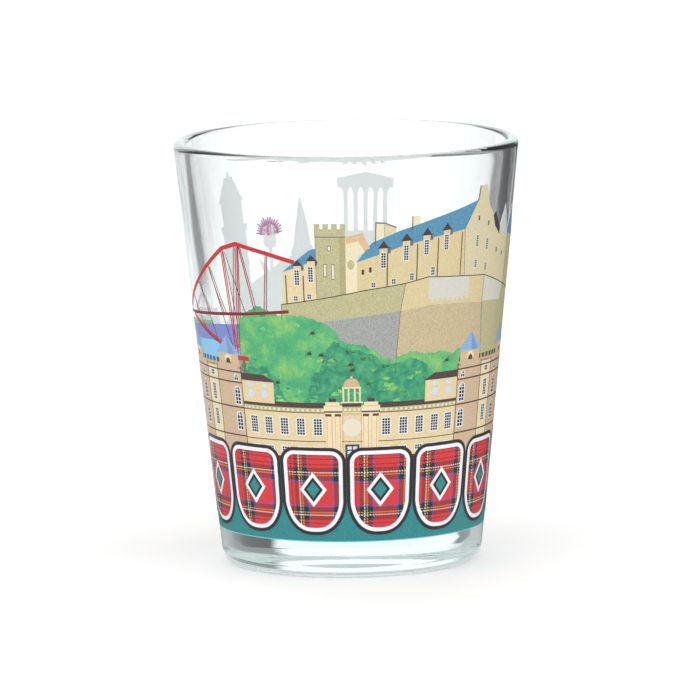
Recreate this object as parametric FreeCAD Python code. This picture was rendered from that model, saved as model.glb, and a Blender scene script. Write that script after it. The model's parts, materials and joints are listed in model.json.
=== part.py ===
import FreeCAD, Part
import math
import os

# Souvenir shot glass: a pressed soda-lime tumbler with a fired wrap print.
# Millimetres, +Z up.  The origin is the centre of the foot on the standing
# plane, +Z is the axis of the glass, and the front of the print faces -Y.

# ---------------------------------------------------------------- driving dimensions
HEIGHT = 61.5            # foot to lip
RIM_R = 25.0             # outer radius just under the lip
FOOT_R = 18.65           # outer cone radius carried down to z = 0
LIP_R = 0.95             # half width of the rounded, fire-polished lip
SHOULDER_Z = HEIGHT - LIP_R
HEEL_R = 2.0             # rounded heel
FLOOR_Z = 8.2            # inner floor, so the base is thick
FLOOR_INNER_R = 16.2     # inner cone radius at the floor
FLOOR_FILLET = 4.0       # rounded corner between floor and wall
FLOOR_DISH = 0.6         # the floor's middle is this much lower
PUSH_R = 12.6            # hollow under the foot (pressed push-up)
PUSH_DEPTH = 1.25
FOOT_FLAT_IN = 13.4      # inner radius of the flat standing ring
WHITE_T = 0.04           # fired white underbase
INK_T = 0.04             # fired colours on top of it

PRINT_LOW = 5.4          # lower edge of the print
SEAM = -168.0            # where the wrap starts, degrees from the front
SEAM_GAP = 0.6           # open join of the wrap, degrees

SHIELDS = 13             # heraldic shields round the base of the print
SHIELD_TOP = 19.3
SHIELD_LOW = 6.4
BORDER = 0.55            # width of the black edge and of the white edge

CONE_SLOPE = (RIM_R - FOOT_R) / SHOULDER_Z
HALF_ANGLE = math.atan(CONE_SLOPE)
COS_A = math.cos(HALF_ANGLE)

V = FreeCAD.Vector
V2 = FreeCAD.Base.Vector2d
os.makedirs("parts", exist_ok=True)


def save(name, solids):
    shape = solids[0] if len(solids) == 1 else Part.makeCompound(solids)
    shape.exportStep("parts/%s.step" % name)


# ---------------------------------------------------------------- the glass
def outer_r(z):
    return FOOT_R + CONE_SLOPE * z


def glass():
    # lip: a semicircle standing on the wall's outer and inner faces
    inner_slope = (RIM_R - 2 * LIP_R - FLOOR_INNER_R) / (SHOULDER_Z - FLOOR_Z)

    def inner_r(z):
        return FLOOR_INNER_R + inner_slope * (z - FLOOR_Z)

    # heel arc, tangent to the cone and to the standing plane
    hx = outer_r(HEEL_R) - HEEL_R / COS_A
    t_cone = V(hx + HEEL_R * COS_A, 0, HEEL_R - HEEL_R * math.sin(HALF_ANGLE))
    mid_a = (-HALF_ANGLE - math.pi / 2) / 2
    heel_mid = V(hx + HEEL_R * math.cos(mid_a), 0, HEEL_R + HEEL_R * math.sin(mid_a))
    heel_low = V(hx, 0, 0)
    # inner corner arc, tangent to the inner cone and to the floor ring
    ib = math.atan(inner_slope)
    fz = FLOOR_Z + FLOOR_FILLET
    fx = inner_r(fz) - FLOOR_FILLET / math.cos(ib)
    f_wall = V(fx + FLOOR_FILLET * math.cos(ib), 0, fz - FLOOR_FILLET * math.sin(ib))
    fm = (-ib - math.pi / 2) / 2
    f_mid = V(fx + FLOOR_FILLET * math.cos(fm), 0, fz + FLOOR_FILLET * math.sin(fm))
    f_floor = V(fx, 0, FLOOR_Z)
    lip_out = V(RIM_R, 0, SHOULDER_Z)
    lip_in = V(RIM_R - 2 * LIP_R, 0, SHOULDER_Z)
    lip_top = V(RIM_R - LIP_R, 0, HEIGHT)
    # the dished floor and the push-up are spherical caps centred on the axis
    dish_ball = (fx ** 2 + FLOOR_DISH ** 2) / (2 * FLOOR_DISH)
    dish = V(0, 0, FLOOR_Z - FLOOR_DISH)
    dish_mid = V(fx / 2, 0, dish.z + dish_ball - math.sqrt(dish_ball ** 2 - fx ** 2 / 4))
    rise = PUSH_DEPTH - 0.12
    push_ball = (PUSH_R ** 2 + rise ** 2) / (2 * rise)
    push = V(0, 0, PUSH_DEPTH)
    push_mid = V(PUSH_R / 2, 0, push.z - push_ball + math.sqrt(push_ball ** 2 - PUSH_R ** 2 / 4))
    push_edge = V(PUSH_R, 0, 0.12)
    flat_in = V(FOOT_FLAT_IN, 0, 0)
    edges = [
        Part.makeLine(t_cone, lip_out),
        Part.Arc(lip_out, lip_top, lip_in).toShape(),
        Part.makeLine(lip_in, f_wall),
        Part.Arc(f_wall, f_mid, f_floor).toShape(),
        Part.Arc(f_floor, dish_mid, dish).toShape(),
        Part.makeLine(dish, push),
        Part.Arc(push, push_mid, push_edge).toShape(),
        Part.makeLine(push_edge, flat_in),
        Part.makeLine(flat_in, heel_low),
        Part.Arc(heel_low, heel_mid, t_cone).toShape(),
    ]
    face = Part.Face(Part.Wire(edges))
    return face.revolve(V(0, 0, 0), V(0, 0, 1), 360)


# ---------------------------------------------------------------- films on the cone
# A print area is a polygon in (theta, z): theta in degrees from the front,
# positive towards +X, and z in millimetres.
def cone_surface(offset):
    body = Part.makeCone(FOOT_R + offset / COS_A, RIM_R + offset / COS_A, SHOULDER_Z,
                         V(0, 0, 0), V(0, 0, 1))
    face = [f for f in body.Faces if "Cone" in type(f.Surface).__name__][0]
    surface = face.Surface
    # turn the surface so that its own seam is at the join of the wrap
    surface.rotate(FreeCAD.Placement(V(0, 0, 0), FreeCAD.Rotation(V(0, 0, 1), SEAM - 90.0)))
    return surface


def loop_on(surface, poly):
    out = []
    n = len(poly)
    for i in range(n):
        a, b = poly[i], poly[(i + 1) % n]
        out.append(Part.Geom2d.Line2dSegment(
            V2(math.radians(a[0] - SEAM), a[1] / COS_A),
            V2(math.radians(b[0] - SEAM), b[1] / COS_A)).toShape(surface))
    return out


def film(poly, low, high):
    s0, s1 = SURFACES[low], SURFACES[high]
    e0, e1 = loop_on(s0, poly), loop_on(s1, poly)
    f0 = Part.Face(s0, Part.Wire(e0))
    f1 = Part.Face(s1, Part.Wire(e1))
    f0.validate()
    f1.validate()
    faces = [f0, f1] + [Part.makeRuledSurface(a, b) for a, b in zip(e0, e1)]
    shell = Part.makeShell(faces)
    shell.sewShape()
    solid = Part.makeSolid(shell)
    if solid.Volume < 0:
        solid.reverse()
    return solid


SURFACES = {0: cone_surface(0.0), 1: cone_surface(WHITE_T), 2: cone_surface(WHITE_T + INK_T)}

# flat working plane for cutting one area by another: x = theta * K, y = z
K = 0.37


def flat(poly):
    pts = [V(t * K, z, 0) for t, z in poly]
    if sum(pts[i - 1].x * pts[i].y - pts[i].x * pts[i - 1].y for i in range(len(pts))) < 0:
        pts.reverse()
    return Part.Face(Part.makePolygon(pts + [pts[0]]))


def merged(shape):
    """The same flat area with neighbouring faces joined into one."""
    return Part.makeShell(shape.Faces).removeSplitter()


def flat_many(polys):
    faces = [flat(p) for p in polys]
    out = faces[0]
    if len(faces) > 1:
        out = merged(out.multiFuse(faces[1:]))
    return out


def pieces_of(shape):
    """Hole-free polygons (theta, z) that make up a flat shape."""
    out = []
    todo = list(shape.Faces)
    while todo:
        f = todo.pop(0)
        if f.Area < 0.02:
            continue
        if len(f.Wires) > 1:
            # cut the face on a vertical line through its first hole
            outer = f.OuterWire
            hole = [w for w in f.Wires if not w.isSame(outer)][0]
            x = hole.BoundBox.Center.x
            b = f.BoundBox
            left = Part.Face(Part.makePolygon([V(b.XMin - 1, b.YMin - 1, 0), V(x, b.YMin - 1, 0),
                                               V(x, b.YMax + 1, 0), V(b.XMin - 1, b.YMax + 1, 0),
                                               V(b.XMin - 1, b.YMin - 1, 0)]))
            todo = list(f.common(left).Faces) + list(f.cut(left).Faces) + todo
            continue
        pts = [(v.Point.x / K, v.Point.y) for v in f.OuterWire.OrderedVertexes]
        keep = []
        n = len(pts)
        for i in range(n):
            (x0, y0), (x1, y1), (x2, y2) = pts[i - 1], pts[i], pts[(i + 1) % n]
            cross = (x1 - x0) * K * (y2 - y1) - (y1 - y0) * (x2 - x1) * K
            if abs(cross) > 1e-6:
                keep.append(pts[i])
        area = sum(keep[i - 1][0] * keep[i][1] - keep[i][0] * keep[i - 1][1] for i in range(len(keep)))
        if area < 0:
            keep.reverse()
        out.append(keep)
    return out


def rect(t0, t1, z0, z1):
    return [(t0, z0), (t1, z0), (t1, z1), (t0, z1)]


def bar(a, b, width):
    """A straight strip from a to b (theta, z), width in millimetres."""
    k = math.radians(1) * outer_r((a[1] + b[1]) / 2)
    dx, dz = (b[0] - a[0]) * k, b[1] - a[1]
    n = math.hypot(dx, dz)
    ox, oz = -dz / n * width / 2 / k, dx / n * width / 2
    return [(a[0] - ox, a[1] - oz), (b[0] - ox, b[1] - oz), (b[0] + ox, b[1] + oz), (a[0] + ox, a[1] + oz)]


def shield(centre, inset):
    """Heater shield: flat top with cut corners, sides drawn in to a blunt point."""
    k = math.radians(1) * outer_r(14)
    half = 360.0 / SHIELDS / 2 * k - 0.02 - inset
    top, low = SHIELD_TOP - inset, SHIELD_LOW + inset * 1.15
    c = 2.3 - inset * 0.45
    pts = [(-half + c, top), (-half + 0.30 * c, top - 0.30 * c), (-half, top - c), (-half, 11.2),
           (-half * 0.93, 9.3 + inset * 0.2), (-half * 0.72, 7.8 + inset * 0.6), (-half * 0.38, low + 0.42), (0, low)]
    pts = pts + [(-x, z) for x, z in reversed(pts[:-1])]
    return [(centre + x / k, z) for x, z in reversed(pts)]


def diamond(centre, z, w, h):
    k = math.radians(1) * outer_r(z)
    return [(centre, z - h), (centre + w / k, z), (centre, z + h), (centre - w / k, z)]


SHIELD_AT = [SEAM + 360.0 / SHIELDS * (i + 0.5) for i in range(SHIELDS)]
LEFT_END, RIGHT_END = SEAM + SEAM_GAP / 2, SEAM + 360 - SEAM_GAP / 2

# Areas from the farthest drawn to the nearest; a nearer area cuts those behind it.
AREAS = [
    ("hill_green", [
        [(96, 24), (96, 29), (112, 34), (128, 38), (148, 41), (161, 43), (184, 43), (RIGHT_END, 42), (RIGHT_END, 24)],
        [(LEFT_END, 24), (LEFT_END, 42), (-158, 41.4), (-150, 40), (-140, 38.4), (-126, 35.8), (-108, 32.4), (-96, 30),
         (-96, 24)],
    ]),
    ("monument_stone", [
        rect(161.4, 184.4, 42.6, 43.6), rect(162.6, 183.2, 43.6, 44.4), rect(162.4, 183.4, 50.9, 52.3),
        [(163.4, 52.3), (182.4, 52.3), (172.9, 53.1)],
        rect(164.4, 166.2, 44.4, 50.9), rect(168.2, 170.0, 44.4, 50.9), rect(172.0, 173.8, 44.4, 50.9),
        rect(175.8, 177.6, 44.4, 50.9), rect(179.6, 181.4, 44.4, 50.9),
    ]),
    ("chapel_stone", [
        [(-168 + 1.0, 34), (-157, 34), (-157, 41.6), (-159.2, 43.4), (-160.6, 45.4), (-162.6, 49.4),
         (-164.6, 45.4), (-166, 43.4), (-167, 41.6)],
    ]),
    ("clock_tower_stone", [
        [(-138, 30), (-119, 30), (-119, 45.5), (-120.5, 45.5), (-120.5, 49.8), (-128.5, 53.8), (-136.5, 49.8),
         (-136.5, 45.5), (-138, 45.5)],
    ]),
    ("flower_pink", [
        [(-151.8, 44.6), (-152.6, 46.0), (-150.8, 47.1), (-147.6, 47.6), (-144.4, 47.1), (-142.6, 46.0), (-143.4, 44.6),
         (-147.6, 43.9)],
    ]),
    ("flower_green", [
        [(-148.3, 33.0), (-146.9, 33.0), (-146.7, 37.6), (-142.8, 40.8), (-146.2, 39.8), (-144.6, 44.6),
         (-147.6, 43.7), (-150.6, 44.6), (-149.0, 39.8), (-152.4, 40.8), (-148.5, 37.6)],
    ]),
    ("water_blue", [
        [(-103, 24), (-38, 24), (-38, 36.9), (-60, 36.2), (-78, 35.4), (-103, 35.2)],
    ]),
    ("bridge_red", [
        bar((-90, 37.0), (-77.6, 39.8), 0.62), bar((-77.6, 39.8), (-59.7, 44.8), 0.62), bar((-59.7, 44.8), (-49.7, 47.6), 0.62),
        bar((-49.7, 47.6), (-42.3, 48.5), 0.62), bar((-42.3, 48.5), (-19.0, 46.3), 0.62),
        bar((-90, 37.0), (-59.2, 37.7), 0.45), bar((-59.2, 37.7), (-22, 39.0), 0.45), bar((-80, 37.0), (-52, 33.2), 0.5),
        bar((-49.7, 47.6), (-46.4, 32.0), 0.3), bar((-42.3, 48.5), (-45.6, 32.0), 0.3), bar((-42.0, 48.5), (-36.4, 38.6), 0.3),
        bar((-29.3, 47.3), (-31.4, 38.6), 0.3), bar((-59.4, 44.8), (-50.5, 37.8), 0.3), bar((-68.6, 42.3), (-60.0, 37.6), 0.3),
        rect(-46.4, -40.8, 31.3, 32.1),
    ]),
    ("rock_grey", [
        [(-24, 28), (17.4, 28), (17.9, 33.7), (19.0, 39.2), (4.5, 38.6), (-9.5, 37.9), (-24.8, 37.6)],
    ]),
    ("rock_tan", [
        [(17.4, 28), (59.5, 28), (57.0, 39.2), (49.0, 39.6), (30.4, 39.9), (19.0, 39.3), (17.9, 33.7)],
    ]),
    ("rampart_khaki", [
        [(-25.2, 37.6), (-9.5, 37.7), (4.5, 38.4), (19.0, 39.0), (30.4, 39.6), (49.0, 39.3), (57.0, 38.9), (59.0, 28),
         (86, 28), (86, 39.5), (76.8, 40.6), (57.3, 42.9), (48.1, 43.2), (29.5, 43.7), (20.7, 43.0), (5.4, 42.2),
         (-9.2, 41.1), (-24.7, 40.1)],
    ]),
    ("castle_walls", [
        [(-24.5, 40.1), (-10.9, 41.0), (-10.9, 46.9), (-23.3, 44.8)],
        [(-11.2, 41.0), (-0.8, 41.7), (-0.8, 51.9), (-11.2, 51.9)],
        [(-0.8, 41.7), (3.2, 42.0), (3.2, 47.2), (7.6, 48.4), (5.2, 50.6), (-0.8, 50.2)],
        [(3.2, 42.0), (20.7, 43.0), (29.5, 43.7), (45.6, 43.3), (44.6, 50.4), (30.9, 50.0), (18.3, 49.0), (3.6, 46.9)],
        [(45.6, 43.3), (57.3, 42.9), (76.4, 40.6), (76.4, 47.4), (72.1, 48.0), (64.5, 49.6), (57.2, 53.3), (55.2, 56.1),
         (51.3, 56.1), (50.7, 54.2), (44.5, 50.1)],
        [(76.4, 40.6), (86, 39.5), (86, 47.6), (76.4, 48.4)],
        rect(9.4, 12.9, 49.2, 52.1), rect(22.7, 25.7, 50.8, 52.8),
    ]),
    ("castle_roofs", [
        [(-24.0, 44.8), (-10.9, 46.8), (-10.9, 48.3), (-13.4, 48.1)],
        [(3.0, 46.4), (18.3, 48.4), (30.9, 49.5), (44.8, 50.1), (50.8, 54.1), (30.6, 52.1), (18.2, 50.7), (8.4, 49.2)],
        [(75.6, 48.4), (86, 47.5), (80.4, 52.2)],
    ]),
    ("trees_green", [
        [(-45.4, 25), (-45.0, 29.2), (-43.6, 30.7), (-43.4, 33.0), (-44.0, 35.6), (-42.5, 37.3), (-38.9, 38.9), (-34.5, 39.6),
         (-31.5, 39.0), (-25.3, 38.3), (-18.3, 38.4), (-13.0, 37.8), (-8.6, 37.1), (-5.2, 35.9), (-3.4, 34.6), (2.6, 34.3),
         (9.2, 33.4), (12.4, 31.9), (17.9, 32.0), (24.6, 32.9), (28.1, 32.4), (37.0, 32.5), (43.0, 32.0), (46.2, 33.0),
         (46.4, 25)],
    ]),
    ("terrace_stone", [
        rect(88, 100, 17.4, 27.0), rect(100, 113, 17.4, 25.4), rect(113, 127, 17.4, 27.4), rect(127, 141, 17.4, 25.6),
        rect(141, 155, 17.4, 27.0), rect(155, 168, 17.4, 25.2), rect(168, RIGHT_END, 17.4, 26.8),
        rect(LEFT_END, -156, 17.4, 26.8), rect(-156, -143, 17.4, 25.2), rect(-143, -129, 17.4, 27.2),
        rect(-129, -115, 17.4, 25.4), rect(-115, -101, 17.4, 27.0), rect(-101, -88, 17.4, 25.6),
    ]),
    ("terrace_roofs", [
        [(87.6, 27.0), (100.4, 27.0), (98.6, 29.6), (89.4, 29.6)], [(100.4, 25.4), (112.6, 25.4), (112.6, 27.4), (100.4, 27.4)],
        [(112.6, 27.4), (127.4, 27.4), (120, 31.4)], [(127.4, 25.6), (140.6, 25.6), (140.6, 27.6), (127.4, 27.6)],
        [(140.6, 27.0), (155.4, 27.0), (153.4, 29.8), (142.6, 29.8)], [(155.4, 25.2), (167.6, 25.2), (167.6, 27.2), (155.4, 27.2)],
        [(167.6, 26.8), (RIGHT_END, 26.8), (RIGHT_END, 29.4), (169.6, 29.4)],
        [(LEFT_END, 26.8), (-155.6, 26.8), (-157.6, 29.4), (LEFT_END, 29.4)],
        [(-155.6, 25.2), (-143.4, 25.2), (-143.4, 27.2), (-155.6, 27.2)], [(-143.4, 27.2), (-128.6, 27.2), (-136, 31.2)],
        [(-128.6, 25.4), (-115.4, 25.4), (-115.4, 27.4), (-128.6, 27.4)],
        [(-115.4, 27.0), (-100.6, 27.0), (-102.6, 29.8), (-113.4, 29.8)],
        [(-100.6, 25.6), (-88.4, 25.6), (-88.4, 27.6), (-100.6, 27.6)],
    ]),
    ("hall_stone", [
        rect(-45.5, 45.4, 17.4, 24.4), rect(-45.5, -30.2, 25.8, 28.6), rect(30.0, 45.4, 25.8, 28.6),
        rect(-9.4, -4.0, 24.4, 26.0), rect(5.4, 10.8, 24.4, 26.0),
    ]),
    ("hall_roofs", [
        rect(-45.5, -9.4, 24.4, 25.8), rect(-4.0, 5.4, 24.4, 25.8), rect(10.8, 45.4, 24.4, 25.8),
        [(-45.5, 28.6), (-29.4, 28.6), (-33.4, 29.6), (-45.5, 29.6)], [(29.2, 28.6), (45.4, 28.6), (45.4, 29.6), (33.4, 29.6)],
    ]),
    ("hall_cupola", [
        rect(-2.9, 4.3, 25.8, 28.2), [(-2.6, 28.2), (4.0, 28.2), (3.5, 28.9), (2.3, 29.5), (0.7, 29.7), (-0.9, 29.5), (-2.1, 28.9)],
    ]),
    ("tower_stone", [
        rect(-88, -45.5, 15.5, 30.6), rect(-58.4, -46.0, 30.6, 32.2), rect(-84, -75, 30.6, 32.0),
        rect(45.4, 88, 15.5, 30.6), rect(46.0, 58.4, 30.6, 32.2), rect(75, 84, 30.6, 32.0),
    ]),
    ("tower_caps", [
        [(-59.4, 32.2), (-45.0, 32.2), (-52.2, 34.9)], [(-84.8, 32.0), (-74.2, 32.0), (-79.5, 34.6)],
        [(45.0, 32.2), (59.4, 32.2), (52.2, 34.9)], [(74.2, 32.0), (84.8, 32.0), (79.5, 34.6)],
    ]),
    ("ground_teal", [
        rect(LEFT_END, RIGHT_END, PRINT_LOW, 17.5),
    ]),
    ("shield_edge_black", [shield(c, 0.0) for c in SHIELD_AT]),
    ("shield_edge_white", [shield(c, BORDER) for c in SHIELD_AT]),
    ("shield_tartan", [shield(c, 2 * BORDER) for c in SHIELD_AT]),
]


def main():
    save("glass_body", [glass()])
    covered = None
    done = []
    for name, polys in reversed(AREAS):
        whole = flat_many(polys)
        seen = whole if covered is None else whole.cut(covered)
        done.append((name, pieces_of(seen)))
        covered = whole if covered is None else covered.fuse(whole)
    for name, polys in done:
        save(name, [film(p, 1, 2) for p in polys])
    save("print_underbase", [film(p, 0, 1) for p in pieces_of(merged(covered))])


main()
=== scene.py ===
import bpy
import bisect
import json
import math
import random
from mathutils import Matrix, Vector
from mathutils.geometry import delaunay_2d_cdt

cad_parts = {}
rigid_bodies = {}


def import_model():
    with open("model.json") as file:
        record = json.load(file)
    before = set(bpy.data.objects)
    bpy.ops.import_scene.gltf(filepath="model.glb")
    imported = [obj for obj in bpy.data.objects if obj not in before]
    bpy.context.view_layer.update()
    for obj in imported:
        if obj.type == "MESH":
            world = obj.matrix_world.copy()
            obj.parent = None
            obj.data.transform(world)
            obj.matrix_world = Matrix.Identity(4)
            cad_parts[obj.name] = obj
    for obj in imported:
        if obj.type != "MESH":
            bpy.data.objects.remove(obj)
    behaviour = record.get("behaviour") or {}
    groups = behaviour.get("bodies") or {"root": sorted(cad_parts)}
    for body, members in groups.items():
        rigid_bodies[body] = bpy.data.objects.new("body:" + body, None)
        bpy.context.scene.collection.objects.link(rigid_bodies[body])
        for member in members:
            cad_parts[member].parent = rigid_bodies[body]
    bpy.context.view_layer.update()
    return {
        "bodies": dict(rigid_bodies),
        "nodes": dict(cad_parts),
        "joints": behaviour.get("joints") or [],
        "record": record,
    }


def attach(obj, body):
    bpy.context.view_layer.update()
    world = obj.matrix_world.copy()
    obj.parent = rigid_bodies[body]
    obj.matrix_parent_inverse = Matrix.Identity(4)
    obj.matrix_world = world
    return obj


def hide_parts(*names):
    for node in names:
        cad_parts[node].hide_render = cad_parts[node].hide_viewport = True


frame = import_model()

# ------------------------------------------------------------ dimensions, mm (the CAD's own)
HEIGHT, RIM_R, FOOT_R, LIP_R, HEEL_R = 61.5, 25.0, 18.65, 0.95, 2.0
SHOULDER_Z = HEIGHT - LIP_R
FLOOR_Z, FLOOR_INNER_R, FLOOR_FILLET, FLOOR_DISH = 8.2, 16.2, 4.0, 0.6
PUSH_R, PUSH_DEPTH, FOOT_FLAT_IN = 12.6, 1.25, 13.4
PRINT_LOW, SEAM, SEAM_GAP = 5.4, -168.0, 0.6
SHIELDS, SHIELD_TOP, SHIELD_LOW = 13, 19.3, 6.4
SLOPE = (RIM_R - FOOT_R) / SHOULDER_Z
HALF = math.atan(SLOPE)
COS_A, SIN_A = math.cos(HALF), math.sin(HALF)
LEFT_END, RIGHT_END = SEAM + SEAM_GAP / 2, SEAM + 360 - SEAM_GAP / 2
rnd = random.Random(11)


def outer_r(z):
    return FOOT_R + SLOPE * z


def mm_deg(z):
    """Millimetres of arc per degree on the outside of the glass at height z."""
    return math.radians(1) * outer_r(z)


# ------------------------------------------------------------ glass
def arc(cx, cz, r, a0, a1, n):
    return [(cx + r * math.cos(a0 + (a1 - a0) * i / n), cz + r * math.sin(a0 + (a1 - a0) * i / n)) for i in range(n + 1)]


def glass_profile():
    s_in = (RIM_R - 2 * LIP_R - FLOOR_INNER_R) / (SHOULDER_Z - FLOOR_Z)
    ib = math.atan(s_in)
    p = [(0.0, PUSH_DEPTH)]
    rise = PUSH_DEPTH - 0.12
    ball = (PUSH_R ** 2 + rise ** 2) / (2 * rise)
    for i in range(1, 33):
        x = PUSH_R * i / 32
        p.append((x, PUSH_DEPTH - ball + math.sqrt(ball ** 2 - x ** 2)))
    p += [(13.0, 0.06), (FOOT_FLAT_IN, 0.0), (15.0, 0.0)]
    hx = outer_r(HEEL_R) - HEEL_R / COS_A
    p += arc(hx, HEEL_R, HEEL_R, -math.pi / 2, -HALF, 16)
    z0 = p[-1][1]
    for i in range(1, 60):
        z = z0 + (SHOULDER_Z - z0) * i / 60
        p.append((outer_r(z), z))
    p += arc(RIM_R - LIP_R, SHOULDER_Z, LIP_R, 0, math.pi, 28)
    fz = FLOOR_Z + FLOOR_FILLET
    fx = FLOOR_INNER_R + s_in * FLOOR_FILLET - FLOOR_FILLET / math.cos(ib)
    corner = arc(fx, fz, FLOOR_FILLET, -ib, -math.pi / 2, 20)
    for i in range(1, 50):
        z = SHOULDER_Z + (corner[0][1] - SHOULDER_Z) * i / 50
        p.append((FLOOR_INNER_R + s_in * (z - FLOOR_Z), z))
    p += corner
    dball = (fx ** 2 + FLOOR_DISH ** 2) / (2 * FLOOR_DISH)
    for i in range(1, 24):
        x = fx * (1 - i / 24)
        p.append((x, FLOOR_Z - FLOOR_DISH + dball - math.sqrt(dball ** 2 - x ** 2)))
    p.append((0.0, FLOOR_Z - FLOOR_DISH))
    return p


def new_mesh(name, verts, faces, smooth=True):
    me = bpy.data.meshes.new(name)
    me.from_pydata(verts, [], faces)
    me.update()
    if smooth:
        me.polygons.foreach_set("use_smooth", [True] * len(me.polygons))
    ob = bpy.data.objects.new(name, me)
    bpy.context.scene.collection.objects.link(ob)
    return ob


def make_glass():
    prof = glass_profile()
    n = 360
    verts, faces = [], []
    first = len(verts)
    verts.append((0, 0, prof[0][1] * 1e-3))
    rings = []
    for r, z in prof[1:-1]:
        rings.append(len(verts))
        for i in range(n):
            a = 2 * math.pi * i / n
            verts.append((r * 1e-3 * math.sin(a), -r * 1e-3 * math.cos(a), z * 1e-3))
    last = len(verts)
    verts.append((0, 0, prof[-1][1] * 1e-3))
    for i in range(n):
        j = (i + 1) % n
        faces.append((first, rings[0] + j, rings[0] + i))
        for a, b in zip(rings, rings[1:]):
            faces.append((a + i, a + j, b + j, b + i))
        faces.append((rings[-1] + i, rings[-1] + j, last))
    return new_mesh("glass_tumbler", verts, faces)


# ------------------------------------------------------------ print: flat art rolled onto the cone
# Every shape is a polygon in (theta, z); shapes of one ink and one layer make one closed film.
ART = {}


def put(ink, layer, *polys):
    ART.setdefault((ink, layer), {"add": [], "cut": []})["add"].extend(polys)


def hole(ink, layer, *polys):
    ART.setdefault((ink, layer), {"add": [], "cut": []})["cut"].extend(polys)


def rect(t0, t1, z0, z1):
    return [(t0, z0), (t1, z0), (t1, z1), (t0, z1)]


def local(tc, zc, pts, zk=None):
    k = mm_deg(zc if zk is None else zk)
    return [(tc + x / k, zc + z) for x, z in pts]


def box(tc, zc, w, h):
    """A rectangle of w x h mm centred at (tc, zc)."""
    return local(tc, zc, [(-w / 2, -h / 2), (w / 2, -h / 2), (w / 2, h / 2), (-w / 2, h / 2)])


def disc(tc, zc, rx, rz=None, n=28, a0=0.0, a1=2 * math.pi):
    rz = rx if rz is None else rz
    full = abs(a1 - a0 - 2 * math.pi) < 1e-6
    m = n if full else n + 1
    return local(tc, zc, [(rx * math.cos(a0 + (a1 - a0) * i / n), rz * math.sin(a0 + (a1 - a0) * i / n)) for i in range(m)])


def bar(a, b, w0, w1=None):
    w1 = w0 if w1 is None else w1
    k = mm_deg((a[1] + b[1]) / 2)
    dx, dz = (b[0] - a[0]) * k, b[1] - a[1]
    n = math.hypot(dx, dz)
    ox, oz = -dz / n / 2 / k, dx / n / 2
    return [(a[0] - ox * w0, a[1] - oz * w0), (b[0] - ox * w1, b[1] - oz * w1), (b[0] + ox * w1, b[1] + oz * w1), (a[0] + ox * w0, a[1] + oz * w0)]


def line(ink, layer, pts, w):
    for a, b in zip(pts, pts[1:]):
        put(ink, layer, bar(a, b, w))
    for p in pts[1:-1]:
        put(ink, layer, disc(p[0], p[1], w / 2, n=8))


def lerp_line(pts, t):
    for (t0, z0), (t1, z1) in zip(pts, pts[1:]):
        if t0 <= t <= t1:
            return z0 + (z1 - z0) * (t - t0) / (t1 - t0)
    return pts[-1][1] if t > pts[-1][0] else pts[0][1]


def panes(tc, zc, w, h, cols, rows, layer, frame="ink_white", pane="ink_black", arch=False, fill=0.8):
    """A sash window: light frame with small dark panes."""
    if arch:
        put(frame, layer, local(tc, zc, [(-w / 2, -h / 2), (w / 2, -h / 2), (w / 2, h / 2 - w / 2)]
            + [(w / 2 * math.cos(a), h / 2 - w / 2 + w / 2 * math.sin(a)) for a in [math.pi * i / 10 for i in range(1, 10)]]
            + [(-w / 2, h / 2 - w / 2)]))
    else:
        put(frame, layer, box(tc, zc, w, h))
    m = 0.07 * w
    cw, ch = (w - 2 * m) / cols, (h - 2 * m) / rows
    k = mm_deg(zc)
    for i in range(cols):
        for j in range(rows):
            x = -w / 2 + m + cw * (i + 0.5)
            z = -h / 2 + m + ch * (j + 0.5)
            pw, ph = cw * fill, ch * fill
            if arch and j == rows - 1:
                s = 1 if x > 0 else -1
                if cols % 2 == 0:
                    put(pane, layer + 1, local(tc, zc, [(x - pw / 2, z - ph / 2), (x + pw / 2, z - ph / 2), (x - s * pw * 0.1, z + ph / 2), (x - s * pw / 2, z + ph / 2)]))
                else:
                    put(pane, layer + 1, local(tc, zc, [(x - pw / 2, z - ph / 2), (x + pw / 2, z - ph / 2), (x, z + ph / 2)]))
            else:
                put(pane, layer + 1, local(tc, zc, [(x - pw / 2, z - ph / 2), (x + pw / 2, z - ph / 2), (x + pw / 2, z + ph / 2), (x - pw / 2, z + ph / 2)]))


# ---- ground band and shields
def shield_curve(inset):
    half = 360.0 / SHIELDS / 2 * mm_deg(14) - 0.02
    c = 2.2
    pts = [(-half + c - c * math.sin(a), SHIELD_TOP - c + c * math.cos(a)) for a in [math.pi / 2 * i / 10 for i in range(11)]]
    # the sides draw in to a blunt point
    for i in range(1, 19):
        a = math.pi / 2 * i / 18
        pts.append((-half * math.cos(a) ** 0.8, 11.6 - (11.6 - SHIELD_LOW) * math.sin(a) ** 1.1))
    pts = pts + [(-x, z) for x, z in reversed(pts[:-1])]
    if inset:
        out = []
        n = len(pts)
        for i in range(n):
            (x0, z0), (x1, z1) = pts[i - 1], pts[(i + 1) % n]
            dx, dz = x1 - x0, z1 - z0
            m = math.hypot(dx, dz)
            out.append((pts[i][0] - dz / m * inset, pts[i][1] + dx / m * inset))
        pts = out
    return [(x, z - 14) for x, z in pts]


def shields():
    put("ink_teal", 1, rect(LEFT_END, RIGHT_END, PRINT_LOW + 0.14, 17.6))
    put("ink_cyan", 0, rect(LEFT_END, RIGHT_END, PRINT_LOW, 17.0))
    for i in range(SHIELDS):
        c = SEAM + 360.0 / SHIELDS * (i + 0.5)
        put("ink_black", 14, local(c, 14, shield_curve(0.0)))
        put("ink_white", 15, local(c, 14, shield_curve(0.5)))
        put("ink_tartan", 16, local(c, 14, shield_curve(1.06)))
        for ink, lay, w, h in (("ink_white", 17, 2.0, 2.55), ("ink_black", 18, 1.42, 1.82), ("ink_teal", 19, 0.94, 1.22)):
            put(ink, lay, local(c, 13.1, [(0, -h), (w, 0), (0, h), (-w, 0)]))


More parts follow.
